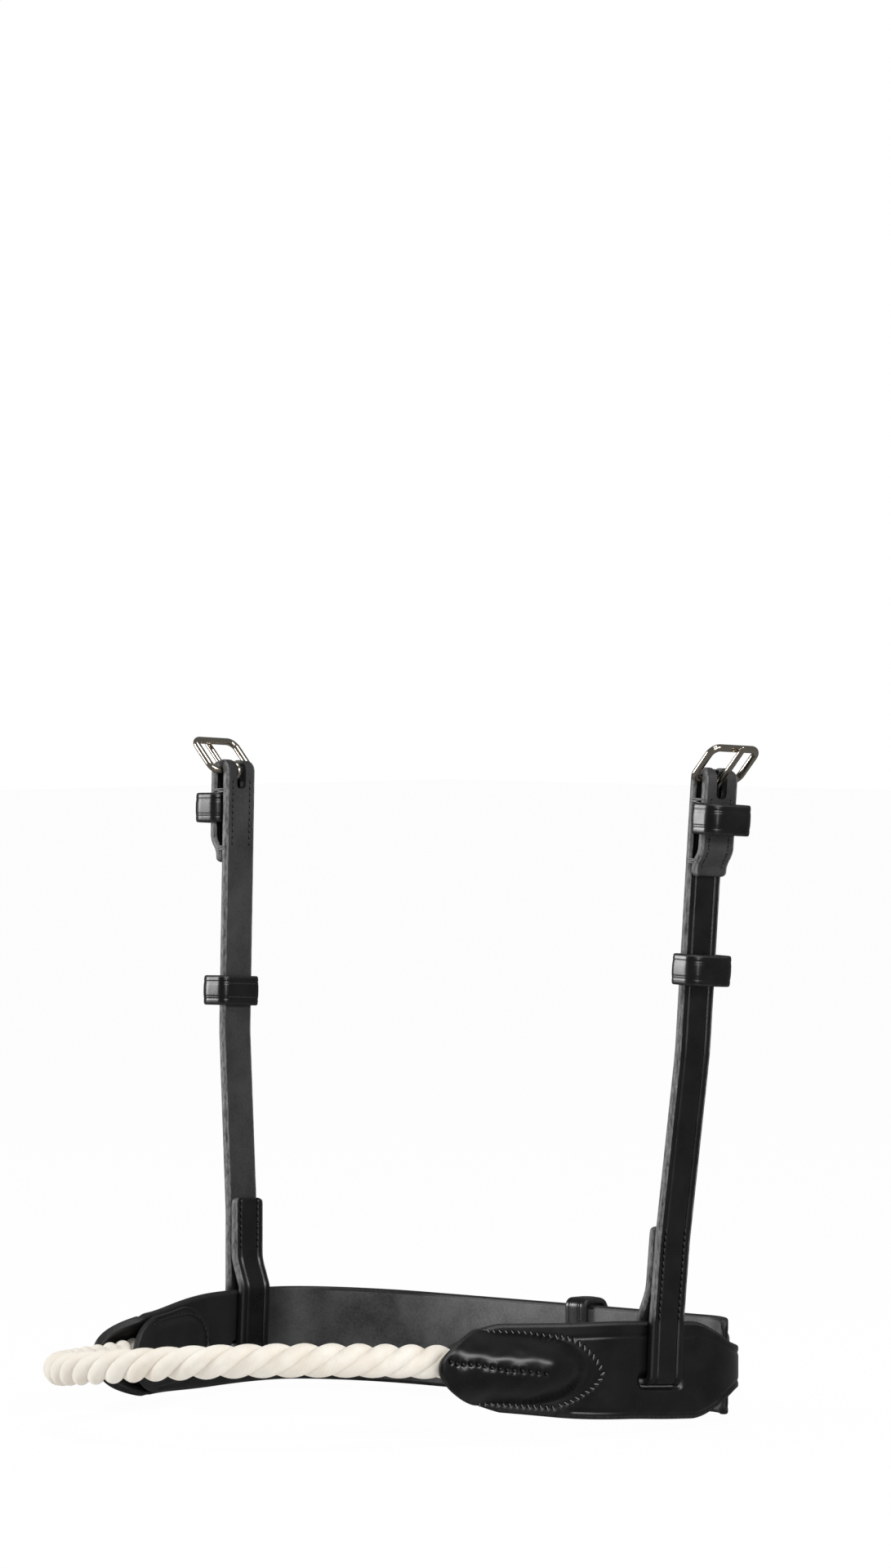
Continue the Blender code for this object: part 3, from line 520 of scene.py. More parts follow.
def on_leather(place, side, offset, distance, height):
    """Points at an offset from the leather's middle, and the ways along, across and out of it."""
    along = unit(place(distance + NUDGE, height) - place(distance - NUDGE, height))
    across = unit(place(distance, height + NUDGE) - place(distance, height - NUDGE))
    outward = unit(np.cross(along, across)) * side
    return place(distance, height) + outward * np.asarray(offset)[..., None], along, across, outward


def leather(name, stations, half, place, side, thickness, relief=None, back_relief=None,
            edge_rows=9, edge_depth=0.004, middle_rows=8, closed=False, finishes=None):
    """A strap or panel. half is its half height and place puts (distance, height) in space."""
    stations = np.asarray(stations, float)
    thick = np.broadcast_to(np.asarray(thickness, float), stations.shape)
    width = half(stations)
    rounding = np.minimum(thick / 2 * 0.8, width * 0.5)
    flat = width - rounding
    crowd = np.minimum(1, flat / (edge_depth * 1.3))
    depths = np.linspace(0, edge_depth, edge_rows)
    outer_rows = -flat[:, None] + depths * crowd[:, None]
    inner = flat - edge_depth * crowd
    middle = np.linspace(-1, 1, middle_rows + 2)[1:-1] * inner[:, None]
    face = np.hstack((outer_rows, middle, -outer_rows[:, ::-1]))
    angles = np.radians(np.linspace(90, -90, EDGE_STEPS + 2)[1:-1])
    swell = np.abs(np.cos(angles)) ** EDGE_SQUARENESS
    rise = np.sign(np.sin(angles)) * np.abs(np.sin(angles)) ** EDGE_SQUARENESS
    top_edge = flat[:, None] + rounding[:, None] * swell
    heights = np.hstack((face, top_edge, face[:, ::-1], -top_edge, face[:, :1]))
    ends = np.ones_like(stations)
    if not closed:
        reach = np.minimum(stations - stations[0], stations[-1] - stations) / (thick / 2)
        ends = np.sqrt(1 - (1 - np.clip(reach, 0, 1)) ** 2)
    level = np.hstack((np.ones(face.shape[1]), rise, -np.ones(face.shape[1]), -rise, 1))
    offset = level * (thick * ends / 2)[:, None]
    grid = np.broadcast_to(stations[:, None], heights.shape)
    count = face.shape[1]
    to_edge = np.maximum(np.minimum(width[:, None] - np.abs(heights), 1), 0)
    if relief is not None:
        offset[:, :count] += relief(grid[:, :count], face) * ends[:, None]
        offset[:, -1] += relief(grid[:, -1], face[:, 0]) * ends
    if back_relief is not None:
        start = count + EDGE_STEPS
        back = slice(start, start + count)
        offset[:, back] -= back_relief(grid[:, back], face[:, ::-1]) * ends[:, None]
    points = on_leather(place, side, offset, grid, heights)[0]
    from_edge = np.where(np.abs(level) < 1, 0.0, to_edge)
    finish_rows = [0] * (count - 1) + [2] * (EDGE_STEPS + 1) + [1] * (count - 1) + [2] * (EDGE_STEPS + 1)
    uv = np.stack((grid, heights), -1)
    return skin(name, points, uv, finishes or (GRAIN, FLESH, CUT_EDGE), finish_rows, from_edge)


# %% [markdown]
# ## Blanks of the two bands
#
# Cut flat, each band has a round nose at the rope, rises slowly to its full height, and then either
# keeps it (off side) or narrows to a billet with a round tip (near side). The near band's leather is
# pressed wet over the rope end, so it swells out there and closes in a rounded end past the rope.
# %% Band blanks
MOUTH_HEIGHT = 0.0272
NOSE_LENGTH = 0.018
FULL_HEIGHT_DISTANCE = 0.070
BILLET_WIDTH = 0.014
BILLET_TAPER_START, BILLET_TAPER = 0.014, 0.025
BILLET_TIP = 0.009
OFF_END_CORNER = 0.003
DRAWN_START, DRAWN_LENGTH, DRAWN_POWER = 0.004, 0.026, 1.15
ROPE_RADIUS = 0.0054
ROPE_TUCK = 0.034
LINING_OFFSET = -(BAND_THICKNESS + LINING_THICKNESS) / 2 - SEAT_GAP
ROPE_OFFSET = LINING_OFFSET + LINING_THICKNESS / 2 + SEAT_GAP + ROPE_RADIUS
POCKET_GAP = 0.0005
POCKET_DEPTH = ROPE_OFFSET + ROPE_RADIUS + POCKET_GAP + BAND_THICKNESS / 2
POCKET_RISE, POCKET_FALL = 0.0100, 0.0126
MOUTH_FLARE, FLARE_LENGTH = 0.0050, 0.024
POCKET_END_START, POCKET_END = 0.032, 0.0575
STRAND_SPACING, LUMP_HEIGHT, LUMP_SLANT = 0.0093, 0.00016, 0.020
NEAR_SAG, SAG_START, SAG_FADE = 0.00135, 0.045, 0.035
TIP_HALF_SPAN, TIP_REACH = TIP[0], -TIP[1]
TIP_RISE, TIP_SKEW, REAR_DROP, RISE_EASE = 0.0028, 0.0039, 0.0013, 0.014
BAR_DISTANCE = NEAR_LINE.length - BILLET_PAST_BUCKLE
WIRE_RADIUS, STRAP_THICKNESS = 0.0012, 0.0024
FOLD_RADIUS = WIRE_RADIUS + SEAT_GAP + STRAP_THICKNESS / 2
TAIL_RISE = 2 * FOLD_RADIUS + STRAP_THICKNESS + SEAT_GAP
FRAME_LENGTH = 0.0140
CLIMB_LENGTH = 2 * FRAME_LENGTH
REAR_TURN_DOWN, DESCENT_LEAD, DESCENT_LENGTH = 0.026, 0.0065, 0.019


def ring_height(plan):
    """The loop's middle line rises to the front, more on the near side, and drops at the rear."""
    ahead, span = -plan[..., 1], plan[..., 0] / TIP_HALF_SPAN
    front = (ahead + np.hypot(ahead, RISE_EASE)) / 2
    rear = (np.hypot(ahead, RISE_EASE) - ahead) / 2
    return front / TIP_REACH * (TIP_RISE + TIP_SKEW * span) - REAR_DROP * rear / REAR_REACH


def round_end(to_end, length):
    """The share of full height left near a half-ellipse end."""
    back = 1 - np.clip(to_end / length, 0, 1)
    return np.sqrt(np.maximum(1 - back ** 2, 0))


def rising_half(distance, start):
    """Half the height of a band that rises from the mouth to its full height."""
    rise = smooth((distance - start) / (FULL_HEIGHT_DISTANCE - start))
    return (MOUTH_HEIGHT + (BAND_HEIGHT - MOUTH_HEIGHT) * rise) / 2


def nose_half(distance):
    return rising_half(distance, NOSE_LENGTH) * round_end(distance, NOSE_LENGTH)


def drawn_nose_half(distance):
    """The near nose, which the rope's bulk draws in to a pointed arch."""
    back = 1 - np.clip(distance / DRAWN_LENGTH, 0, 1)
    return rising_half(distance, DRAWN_START) * np.sqrt(np.maximum(1 - back ** DRAWN_POWER, 0))


def near_half(distance):
    share = smooth((distance - HANGER_DISTANCE - BILLET_TAPER_START) / BILLET_TAPER)
    half = drawn_nose_half(distance) + (BILLET_WIDTH - BAND_HEIGHT) / 2 * share
    return half * round_end(NEAR_LINE.length - distance, BILLET_TIP)


def off_half(distance):
    to_end = OFF_LINE.length - distance
    return nose_half(distance) - OFF_END_CORNER * (1 - round_end(to_end, OFF_END_CORNER))


def pocket_lift(distance, height):
    """How far the leather stands out over the rope end."""
    past = np.clip((distance - POCKET_END_START) / (POCKET_END - POCKET_END_START), 0, 1)
    flare = MOUTH_FLARE * (1 - smooth(distance / FLARE_LENGTH))
    reach = np.where(height > 0, POCKET_RISE, POCKET_FALL) + flare
    share = np.minimum(np.hypot(height / reach, past), 1)
    lumps = LUMP_HEIGHT * np.sin(2 * math.pi * (distance / STRAND_SPACING - height / LUMP_SLANT))
    return POCKET_DEPTH * (1 - share ** 2.8) ** 2 + lumps * (1 - share ** 2)


def tail_lift(distance):
    """How far the billet stands out, to pass over the buckle's bar and the turned leather."""
    ahead = BAR_DISTANCE - distance
    climb = smooth(1 - (ahead - FOLD_RADIUS / 2) / (CLIMB_LENGTH - FOLD_RADIUS / 2))
    descent = smooth((-ahead - REAR_TURN_DOWN + DESCENT_LEAD) / DESCENT_LENGTH)
    return TAIL_RISE * (climb - descent)


def near_sag(distance):
    """The near band's front hangs a little lower than the rope in its pocket."""
    return NEAR_SAG * (1 - smooth((distance - SAG_START) / SAG_FADE))


def zero(distance):
    return 0.0 * distance


def lining_level(distance, height):
    return np.full(np.broadcast(distance, height).shape, LINING_OFFSET)


def standing(line, side, lift, sag=zero):
    """A function that puts (distance, height) of a band in space, on edge along its line."""
    def place(distance, height):
        distance, height = np.broadcast_arrays(distance, height)
        level = height - sag(distance)
        inside = np.clip(distance, 0, line.length)
        point, aim = line.at(inside)
        beyond = (distance - inside)[..., None] * aim
        plan = point + beyond + right_of(aim) * side * lift(distance, level)[..., None]
        return np.stack((plan[..., 0], plan[..., 1], ring_height(point) + level), -1)
    return place


near_place = standing(NEAR_LINE, 1, lambda s, a: pocket_lift(s, a) + tail_lift(s), near_sag)
off_place = standing(OFF_LINE, -1, pocket_lift)


def end_stations(start, end, steps, power=2.0):
    """Stations that crowd towards the start, as a round end needs."""
    return start + (end - start) * np.linspace(0, 1, steps) ** power


# %% [markdown]
# ## Where the seams run
#
# The seams' places, as (distance, height) on the flat blank in millimetres: round the pocket in a D,
# a second row below it, a row along the crown, and the line that shows on the lining inside.
# %% Seam lines
POCKET_SEAM = [(20.7, 9.9), (27.2, 9.9), (35.2, 9.8), (43.2, 9.5), (47.7, 9.2), (51.2, 8.5), (53.7, 7.0),
               (57.2, 4.25), (59.7, 1.5), (61.2, -1.5), (60.2, -3.75), (57.2, -6.75), (53.7, -9.0),
               (49.7, -11.25), (46.2, -12.5)]
LOWER_SEAM = [(17.7, -12.0), (25.2, -12.75), (33.7, -13.25), (44.7, -13.5)]
CROWN_SEAM = [(2.7, 1.25), (4.7, 1.0), (7.2, 0.25), (14.2, 0.5), (18.2, -0.25), (26.7, -1.0), (32.2, -1.0),
              (39.7, -1.75)]
angles = np.radians(np.linspace(90, -90, 19))
lining_turn = [(44.0 + 15.5 * math.cos(angle), 0.6 + 10.4 * math.sin(angle)) for angle in angles]
LINING_SEAM = [(13.0, 10.2), (19.0, 11.0), (30.0, 11.3), *lining_turn, (30.0, -10.6), (19.0, -10.8),
               (13.0, -10.0)]

# %% [markdown]
# ## Pressed lines
#
# A maker runs a warm creasing iron along the band's edges. It leaves a shallow polished groove that
# catches a thin line of light. On the near band the lower line starts where the pocket's stitching
# ends. Grooves and prick marks are real dents in the mesh, as soft valleys of a given width.
# %% Pressed lines
CREASE_WIDTH, CREASE_DEPTH = 0.0006, 0.00028
STITCH_PITCH, CROWN_PITCH = 0.0021, 0.0026
TOP_CREASE, BOTTOM_CREASE = 0.0047, 0.0025
POCKET_SEAM_END = 0.048
CREASE_START_FADE, CREASE_END_FADE = 0.003, 0.006
PRICK_RADIUS, PRICK_DEPTH = 0.0006, 0.00028
CROWN_RADIUS, CROWN_DEPTH = 0.0009, 0.0006
MOST_OVERLAP = 1.3
SLOT_HALF_WIDTH, SLOT_FLAT, SLOT_DROP = 0.0072, 0.0004, 0.0035
RIM_START, RIM_FADE, RIM_DEPTH = 0.0014, 0.0015, 0.0009


def valley(offset, width):
    return np.exp(-(offset / width) ** 2)


def evenly(corners, pitch, sag=zero):
    """Points at an even pitch along a line through corners, with the line's direction at each."""
    line = Line(np.array(corners) * MM)
    points, aims = line.at(np.arange(pitch / 2, line.length, pitch))
    points[:, 1] += sag(points[:, 0])
    return points, aims


def dents(distance, height, points, radius, depth):
    """Round dents at points."""
    total = np.zeros(np.broadcast(distance, height).shape)
    for spot in points:
        total += np.exp(-((distance - spot[0]) ** 2 + (height - spot[1]) ** 2) / radius ** 2)
    return -depth * np.minimum(total, MOST_OVERLAP)


def slot_rim(distance, height):
    """The leather round a hanger's slot, rubbed down by the strap."""
    beside = np.maximum(np.abs(distance - HANGER_DISTANCE) - SLOT_HALF_WIDTH, 0)
    above = np.maximum(np.abs(height + SLOT_DROP) - SLOT_FLAT, 0)
    return -RIM_DEPTH * smooth(1 - (np.hypot(beside, above) - RIM_START) / RIM_FADE)


def band_relief(half, length, narrowing=zero, sag=zero):
    """Creases, stitch dents and the slot's rim on the grain of a band."""
    dimples = np.vstack([evenly(seam, STITCH_PITCH, sag)[0] for seam in (POCKET_SEAM, LOWER_SEAM)])
    crown = evenly(CROWN_SEAM, CROWN_PITCH, sag)[0]

    def relief(distance, height):
        edge = half(distance)
        live = smooth((distance - POCKET_SEAM_END) / CREASE_START_FADE)
        live = live * smooth((length - distance) / CREASE_END_FADE)
        top_inset = TOP_CREASE + (BOTTOM_CREASE - TOP_CREASE) * narrowing(distance)
        top = valley(edge - height - top_inset, CREASE_WIDTH)
        bottom = valley(edge + height - BOTTOM_CREASE, CREASE_WIDTH)
        pricked = dents(distance, height, dimples, PRICK_RADIUS, PRICK_DEPTH)
        pulled = dents(distance, height, crown, CROWN_RADIUS, CROWN_DEPTH)
        return -CREASE_DEPTH * live * (top + bottom) + (pricked + pulled) + slot_rim(distance, height)
    return relief


# %% [markdown]
# The bands get the closest stations at the front, where the pocket and its dents need them.
# %% Bands
FINE_END = 0.066
BAND_EDGE_DEPTH = 0.005
CREASE_TAPER_START = 0.010


def near_narrowing(distance):
    return smooth((distance - HANGER_DISTANCE - CREASE_TAPER_START) / BILLET_TAPER)


def band_stations(length, end, steps, end_steps):
    front = end_stations(0, NOSE_LENGTH, 60)
    pocket = np.linspace(NOSE_LENGTH, FINE_END, 130)[1:]
    rest = np.linspace(FINE_END, length - end, steps)[1:]
    return np.r_[front, pocket, rest, length - end_stations(0, end, end_steps)[::-1][1:]]


band_finishes = (GRAIN, BAND_FLESH, DARK_EDGE)
near_band = leather("near_band_leather", band_stations(NEAR_LINE.length, BILLET_TIP, 180, 24),
                    near_half, near_place, 1, BAND_THICKNESS, finishes=band_finishes,
                    relief=band_relief(near_half, NEAR_LINE.length, near_narrowing, near_sag),
                    edge_rows=16, edge_depth=BAND_EDGE_DEPTH, middle_rows=44)
take_over(near_band, "ring", "near_band")
off_band = leather("off_band_leather", band_stations(OFF_LINE.length, OFF_END_CORNER, 200, 14),
                   off_half, off_place, -1, BAND_THICKNESS, finishes=band_finishes,
                   relief=band_relief(off_half, OFF_LINE.length),
                   edge_rows=14, edge_depth=BAND_EDGE_DEPTH, middle_rows=36)
take_over(off_band, "ring", "off_band")

# %% [markdown]
# ## Rope linings
#
# Inside each pocket a second layer of thinner leather closes it towards the horse. Its outline is a
# D: a round nose like the band's and a long round end where the stitching goes round. Its edge is
# skived, that is pared thin, so that nothing rubs the nose.
# %% Linings
LINING_LENGTH, LINING_APEX = 0.062, 0.022
PARED_DEPTH, PARED_REACH, PARED_START = 0.0013, 0.0055, 0.012
LINING_FRONT = 0.026


def off_lining_nose(distance):
    return nose_half(distance) * 0.93


LININGS = {"near": (1, NEAR_LINE, drawn_nose_half, 0.0055, near_sag),
           "off": (-1, OFF_LINE, off_lining_nose, 0.0010, zero)}
lining_places = {}
for name, (side, line, nose, setback, sag) in LININGS.items():
    def lining_half(distance, nose=nose, setback=setback):
        return nose(distance - setback) * round_end(LINING_LENGTH - distance, LINING_APEX)

    def skived(distance, height, half=lining_half):
        to_edge = np.minimum(half(distance) - np.abs(height), LINING_LENGTH - distance)
        behind_nose = smooth((distance - PARED_START) / PARED_START)
        return -PARED_DEPTH * behind_nose * smooth(1 - to_edge / PARED_REACH)

    rest = LINING_LENGTH - setback - LINING_FRONT
    stations = np.r_[setback + end_stations(0, LINING_FRONT, 44)[:-1],
                     LINING_LENGTH - end_stations(0, rest, 50)[::-1]]
    lining_places[name] = standing(line, side, lining_level, sag)
    lining = leather(f"{name}_lining_leather", stations, lining_half, lining_places[name], side,
                     LINING_THICKNESS, finishes=(FLESH, LINING_GRAIN, DARK_EDGE), back_relief=skived,
                     edge_rows=16, edge_depth=0.006)
    take_over(lining, "ring", f"{name}_rope_lining")

# %% [markdown]
# ## The rope
#
# Three strands wind round one another to the left, once in 27 mm. Real strands press into each
# other, so they are fatter than three separate tubes could be: here each overlaps its neighbours a
# little and the groove between them closes to a sharp V.
# %% Rope strands
ROPE_REACH = 0.1485
ROPE_LAY = 0.0268
STRAND_RADIUS, STRAND_CIRCLE = 0.00285, 0.0026
ROPE_PHASE = math.radians(50)
STATIONS_PER_TURN, STRAND_SIDES = 26, 28
ROPE_SMOOTH_STEP, ROPE_SMOOTH_PASSES = 0.001, 30
ROUND_ROPE_END = 0.003

tucked, tucked_aim = Line(SIDE).at(np.linspace(ROPE_TUCK, 0, 60))
tucked = tucked + right_of(tucked_aim) * ROPE_OFFSET
mouth = TIP + right_of(TIP_AIM) * ROPE_OFFSET
bow = curve_between(mouth, -TIP_AIM, np.array((0, -ROPE_REACH)), np.array((-1, 0)), (0.46, 0.38))
half_plan = np.vstack((tucked, bow[1:]))
rope_plan = Line(np.vstack((half_plan, (half_plan * MIRROR)[:-1][::-1])))
even_steps = np.linspace(0, rope_plan.length, round(rope_plan.length / ROPE_SMOOTH_STEP))
rope_plan = rope_plan.at(even_steps)[0]
for _ in range(ROPE_SMOOTH_PASSES):
    rope_plan[1:-1] = (rope_plan[:-2] + 2 * rope_plan[1:-1] + rope_plan[2:]) / 4
ROPE_LINE = Line(np.column_stack((rope_plan, ring_height(rope_plan))))
turns = ROPE_LINE.length / ROPE_LAY
distances = np.linspace(0, ROPE_LINE.length, round(turns * STATIONS_PER_TURN))
middle, aim = ROPE_LINE.at(distances)
outward = unit(np.cross((0, 0, 1), aim))
upward = np.cross(aim, outward)
to_end = np.minimum(distances, distances[-1] - distances)
closing = round_end(to_end, ROUND_ROPE_END)
round_angle = np.linspace(0, 2 * math.pi, STRAND_SIDES + 1)
for strand in range(3):
    angle = -2 * math.pi * ((distances - ROPE_LINE.length / 2) / ROPE_LAY + strand / 3) + ROPE_PHASE
    swing = outward * np.cos(angle)[:, None] + upward * np.sin(angle)[:, None]
    core = middle + swing * STRAND_CIRCLE
    beside = np.cross(unit(np.gradient(core, axis=0)), swing)
    spoke = swing[:, None] * np.cos(round_angle)[:, None] + beside[:, None] * np.sin(round_angle)[:, None]
    points = core[:, None] + spoke * (STRAND_RADIUS * closing)[:, None, None]
    strand_length = np.r_[0, np.cumsum(np.linalg.norm(np.diff(core, axis=0), axis=1))]
    uv = np.stack(np.broadcast_arrays(strand_length[:, None], round_angle / (2 * math.pi)), -1)
    take_over(skin(f"laid_strand_{strand + 1}", points, uv, [COTTON]), "ring", f"rope_strand_{strand + 1}")

# %% [markdown]
# ## Where the hangers, bars and keepers stand
#
# Each hanger swings in a slot of its band, each buckle turns on its bar, and the rear buckle lies on
# the back of the loop. A matrix says where each of these places is and how it is turned: its X axis
# points out of the leather, Y goes across the strap and Z along it. A piece can then be made in
# simple numbers at the origin and put in place once.
# %% Places of hangers and bars
SIDE_HEADING = math.radians(4)
BACK_LEAN = math.radians(3.1)
STRAP_WIDTH = 0.014
BAR_LIFT, BAR_OUT = 0.1938, 0.0151
TOP_LEAN = math.radians(1.5)
REAR_BAR_OUT = BAND_THICKNESS / 2 + SEAT_GAP + STRAP_THICKNESS / 2 + FOLD_RADIUS


def hanger_matrix(side):
    turn = -SIDE_HEADING if side > 0 else math.pi + SIDE_HEADING
    height = float(ring_height(np.array((side * HANGER_HALF_SPAN, 0.0)))) - SLOT_DROP
    upright = Matrix.Rotation(turn, 4, "Z") @ Matrix.Rotation(-side * BACK_LEAN, 4, "X")
    return Matrix.Translation((side * HANGER_HALF_SPAN, 0, height)) @ upright


def rear_matrix(x, out):
    plan = np.array((x, rear_y(x)))
    turn = Matrix.Rotation(REAR_BEND if x < REAR_BEND_X else 0, 4, "Z")
    axes = Matrix(((0, 0, 1, 0), (1, 0, 0, 0), (0, 1, 0, 0), (0, 0, 0, 1)))
    spot = Matrix.Translation((x, plan[1], float(ring_height(plan))))
    return spot @ turn @ axes @ Matrix.Translation((out, 0, 0))


PIVOTS = {"near": hanger_matrix(1), "off": hanger_matrix(-1)}
bar_in_hanger = Matrix.Translation((BAR_OUT, 0, BAR_LIFT)) @ Matrix.Rotation(TOP_LEAN, 4, "Y")
BARS = {f"{name}_hanger": pivot @ bar_in_hanger for name, pivot in PIVOTS.items()}
BARS["rear"] = rear_matrix(REAR_BAR_X, REAR_BAR_OUT)


def in_frame(matrix, line, keeper=False, closed=False):
    """Put (distance, height) of a strip in space. A strap's line is its side view, a keeper's its end."""
    turn, spot = np.array(matrix)[:3, :3], np.array(matrix)[:3, 3]

    def place(distance, height):
        distance, height = np.broadcast_arrays(distance, height)
        point, _ = line.at(np.mod(distance, line.length) if closed else distance)
        order = (point[..., 0], point[..., 1], height) if keeper else (point[..., 0], height, point[..., 1])
        return np.stack(order, -1) @ turn.T + spot
    return place


def crowded(line, step, turn_deg=9):
    """Distances along a line that stand closer where it turns."""
    turning = np.degrees(np.arccos(np.clip(np.sum(line.aims[1:] * line.aims[:-1], axis=1), -1, 1)))
    cost = np.r_[0, np.cumsum(np.diff(line.distances) / step + turning / turn_deg)]
    return np.interp(np.linspace(0, cost[-1], math.ceil(cost[-1]) + 1), cost, line.distances)


def with_round_ends(stations, radius):
    """The same distances, with both ends spaced as a round end needs."""
    lead = radius * (1 - np.cos(np.linspace(0, math.pi / 2, 6)))
    first, last = stations[0], stations[-1]
    inner = stations[(stations > first + radius * 1.2) & (stations < last - radius * 1.2)]
    return np.r_[first + lead, inner, (last - lead)[::-1]]


# %% [markdown]
# ## Hanger straps
#
# One long strip makes each hanger. It starts inside, goes down through the slot, comes up outside,
# leans with the cheek of the horse to the buckle, goes over the bar and ends turned down. The grain
# is outside on the long run, so the fold at the top shows the flesh side. Two creased lines run
# along the grain, and the slit in the fold lets the tongue through.
# %% Hanger straps
RUN_OFFSET = (BAND_THICKNESS + STRAP_THICKNESS) / 2 + SEAT_GAP
LAYER_PITCH = STRAP_THICKNESS + SEAT_GAP
TURN_UP_LENGTH, TURN_DOWN_LENGTH = 0.0305, 0.031
SKIVE_LENGTH, SKIVE_RADIUS = 0.008, 0.006
SLIT_WIDTH, SLIT_DEPTH, SLIT_CORNER, CUT_OVERRUN = 0.0044, 0.006, 0.0015, 0.002
STRAP_CORNER, FOLD_WEAR = 0.0018, 0.0018
LOOP_SETTLE = 0.0002
LOW_BEND, LOW_OUT, HIGH_BEND, BEND_RADIUS = 0.045, 0.0012, 0.106, 0.080
JOIN_RISE, JOIN_RADIUS = 0.010, 0.012
LOOP_CORNER, EDGE_CLEARANCE = 0.0018, 0.0010
STRAP_LINE_HEIGHT, STRAP_LINE_DEPTH, STRAP_LINE_WIDTH = 0.0042, 0.00040, 0.00046
STRAP_STEP = 0.0011
BAND_TOP = BAND_HEIGHT / 2 + SLOT_DROP


def fold_points(run_length, turn_length):
    """The side view of leather that goes up, round a bar at the origin and down outside."""
    closed = -FOLD_RADIUS + LAYER_PITCH
    tip = -turn_length + SKIVE_LENGTH / 2
    corners = [(-FOLD_RADIUS, -run_length), (-FOLD_RADIUS, FOLD_RADIUS), (FOLD_RADIUS, FOLD_RADIUS),
               (FOLD_RADIUS, tip + SKIVE_LENGTH / 2), (closed, tip), (closed, -turn_length)]
    return rounded(corners, [FOLD_RADIUS, FOLD_RADIUS, SKIVE_RADIUS, SKIVE_RADIUS])


def hanger_points():
    lean = np.array(((math.cos(TOP_LEAN), math.sin(TOP_LEAN)), (-math.sin(TOP_LEAN), math.cos(TOP_LEAN))))
    bar = np.array((BAR_OUT, BAR_LIFT))
    run_top = bar + lean @ (-FOLD_RADIUS, 0)
    high_bend = run_top - lean @ (0, 1) * (BAR_LIFT - HIGH_BEND)
    low_bend, edge = np.array((RUN_OFFSET + LOW_OUT, LOW_BEND)), np.array((RUN_OFFSET, BAND_TOP))
    rise = unit(low_bend - edge)
    beside = np.array((rise[1], -rise[0])) * LAYER_PITCH
    corners = [edge + rise * TURN_UP_LENGTH - beside, edge + rise * JOIN_RISE - beside,
               (-RUN_OFFSET, BAND_TOP + EDGE_CLEARANCE), (-RUN_OFFSET, -LOOP_SETTLE),
               (RUN_OFFSET, -LOOP_SETTLE), edge, low_bend, high_bend, run_top]
    points = rounded(corners, [JOIN_RADIUS, SKIVE_RADIUS, LOOP_CORNER, LOOP_CORNER, JOIN_RADIUS,
                               BEND_RADIUS, BEND_RADIUS])
    fold = fold_points(0, TURN_DOWN_LENGTH)[1:]
    return np.vstack((points, fold @ lean.T + bar))


def strip_half(line, width, corner, fold):
    """Half the width of a strip with round corners at its ends, and worn round where it is folded."""
    outside = FOLD_RADIUS + STRAP_THICKNESS / 2

    def half(distance):
        to_end = np.minimum(distance, line.length - distance)
        height = outside * np.cos(np.clip(np.abs(distance - fold) / FOLD_RADIUS, 0, math.pi / 2))
        over = np.clip((height - outside) / FOLD_WEAR + 1, 0, 1)
        worn = FOLD_WEAR * (1 - np.sqrt(1 - over ** 2))
        return width / 2 - corner * (1 - round_end(to_end, corner)) - worn
    return half


def strap_lines(distance, height):
    """Two creased lines along the grain."""
    return -STRAP_LINE_DEPTH * valley(np.abs(height) - STRAP_LINE_HEIGHT, STRAP_LINE_WIDTH)


def cut(piece, cutter):
    """Take a shape out of a piece. The cut keeps the cutter's own finish."""
    cutter.data.materials.append(DARK_EDGE)
    bpy.ops.object.select_all(action="DESELECT")
    bpy.context.view_layer.objects.active = piece
    piece.select_set(True)
    knife = piece.modifiers.new("cut", "BOOLEAN")
    knife.operation, knife.solver, knife.material_mode = "DIFFERENCE", "EXACT", "TRANSFER"
    knife.object = cutter
    bpy.ops.object.modifier_apply(modifier=knife.name)
    bpy.data.objects.remove(cutter)
    bpy.ops.object.shade_smooth_by_angle(angle=math.radians(38))


def box_cutter(size, centre, matrix, corner):
    """A box with rounded edges along X, put in place by a matrix."""
    bpy.ops.object.select_all(action="DESELECT")
    bpy.ops.mesh.primitive_cube_add(size=1)
    box = bpy.context.object
    box.data.transform(Matrix.Translation(centre) @ Matrix.Diagonal((*size, 1)))
    bpy.ops.object.mode_set(mode="EDIT")
    bpy.ops.mesh.select_all(action="DESELECT")
    bpy.ops.object.mode_set(mode="OBJECT")
    for line in box.data.edges:
        first, last = (box.data.vertices[index].co for index in line.vertices)
        line.select = abs(first.x - last.x) > corner
    bpy.ops.object.mode_set(mode="EDIT")
    bpy.ops.mesh.select_mode(type="EDGE")
    bpy.ops.mesh.bevel(offset=corner, segments=5, affect="EDGES")
    bpy.ops.object.mode_set(mode="OBJECT")
    bpy.context.scene.tool_settings.mesh_select_mode = (True, False, False)
    box.data.transform(matrix)
    return box


def strip_piece(name, source, body, line, matrix, edge, turn_down):
    """A strap along its side view, ready for the slit where it goes over the bar."""
    place = in_frame(matrix, line)
    stations = with_round_ends(crowded(line, STRAP_STEP), STRAP_THICKNESS / 2)
    fold = line.length - turn_down - math.pi * FOLD_RADIUS / 2
    piece = leather(name, stations, strip_half(line, STRAP_WIDTH, STRAP_CORNER, fold), place, -1,
                    STRAP_THICKNESS, relief=strap_lines, edge_rows=14, edge_depth=0.0038, middle_rows=5,
                    finishes=(GRAIN, FLESH, edge))
    take_over(piece, body, source)
    return piece, place


def slit(piece, bar):
    top = FOLD_RADIUS + STRAP_THICKNESS / 2 + CUT_OVERRUN
    size = (2 * top, SLIT_WIDTH, top + SLIT_DEPTH)
    cut(piece, box_cutter(size, (0, 0, (top - SLIT_DEPTH) / 2), bar, SLIT_CORNER))


def distance_near(line, point):
    return line.distances[np.argmin(np.linalg.norm(line.points - point, axis=1))]


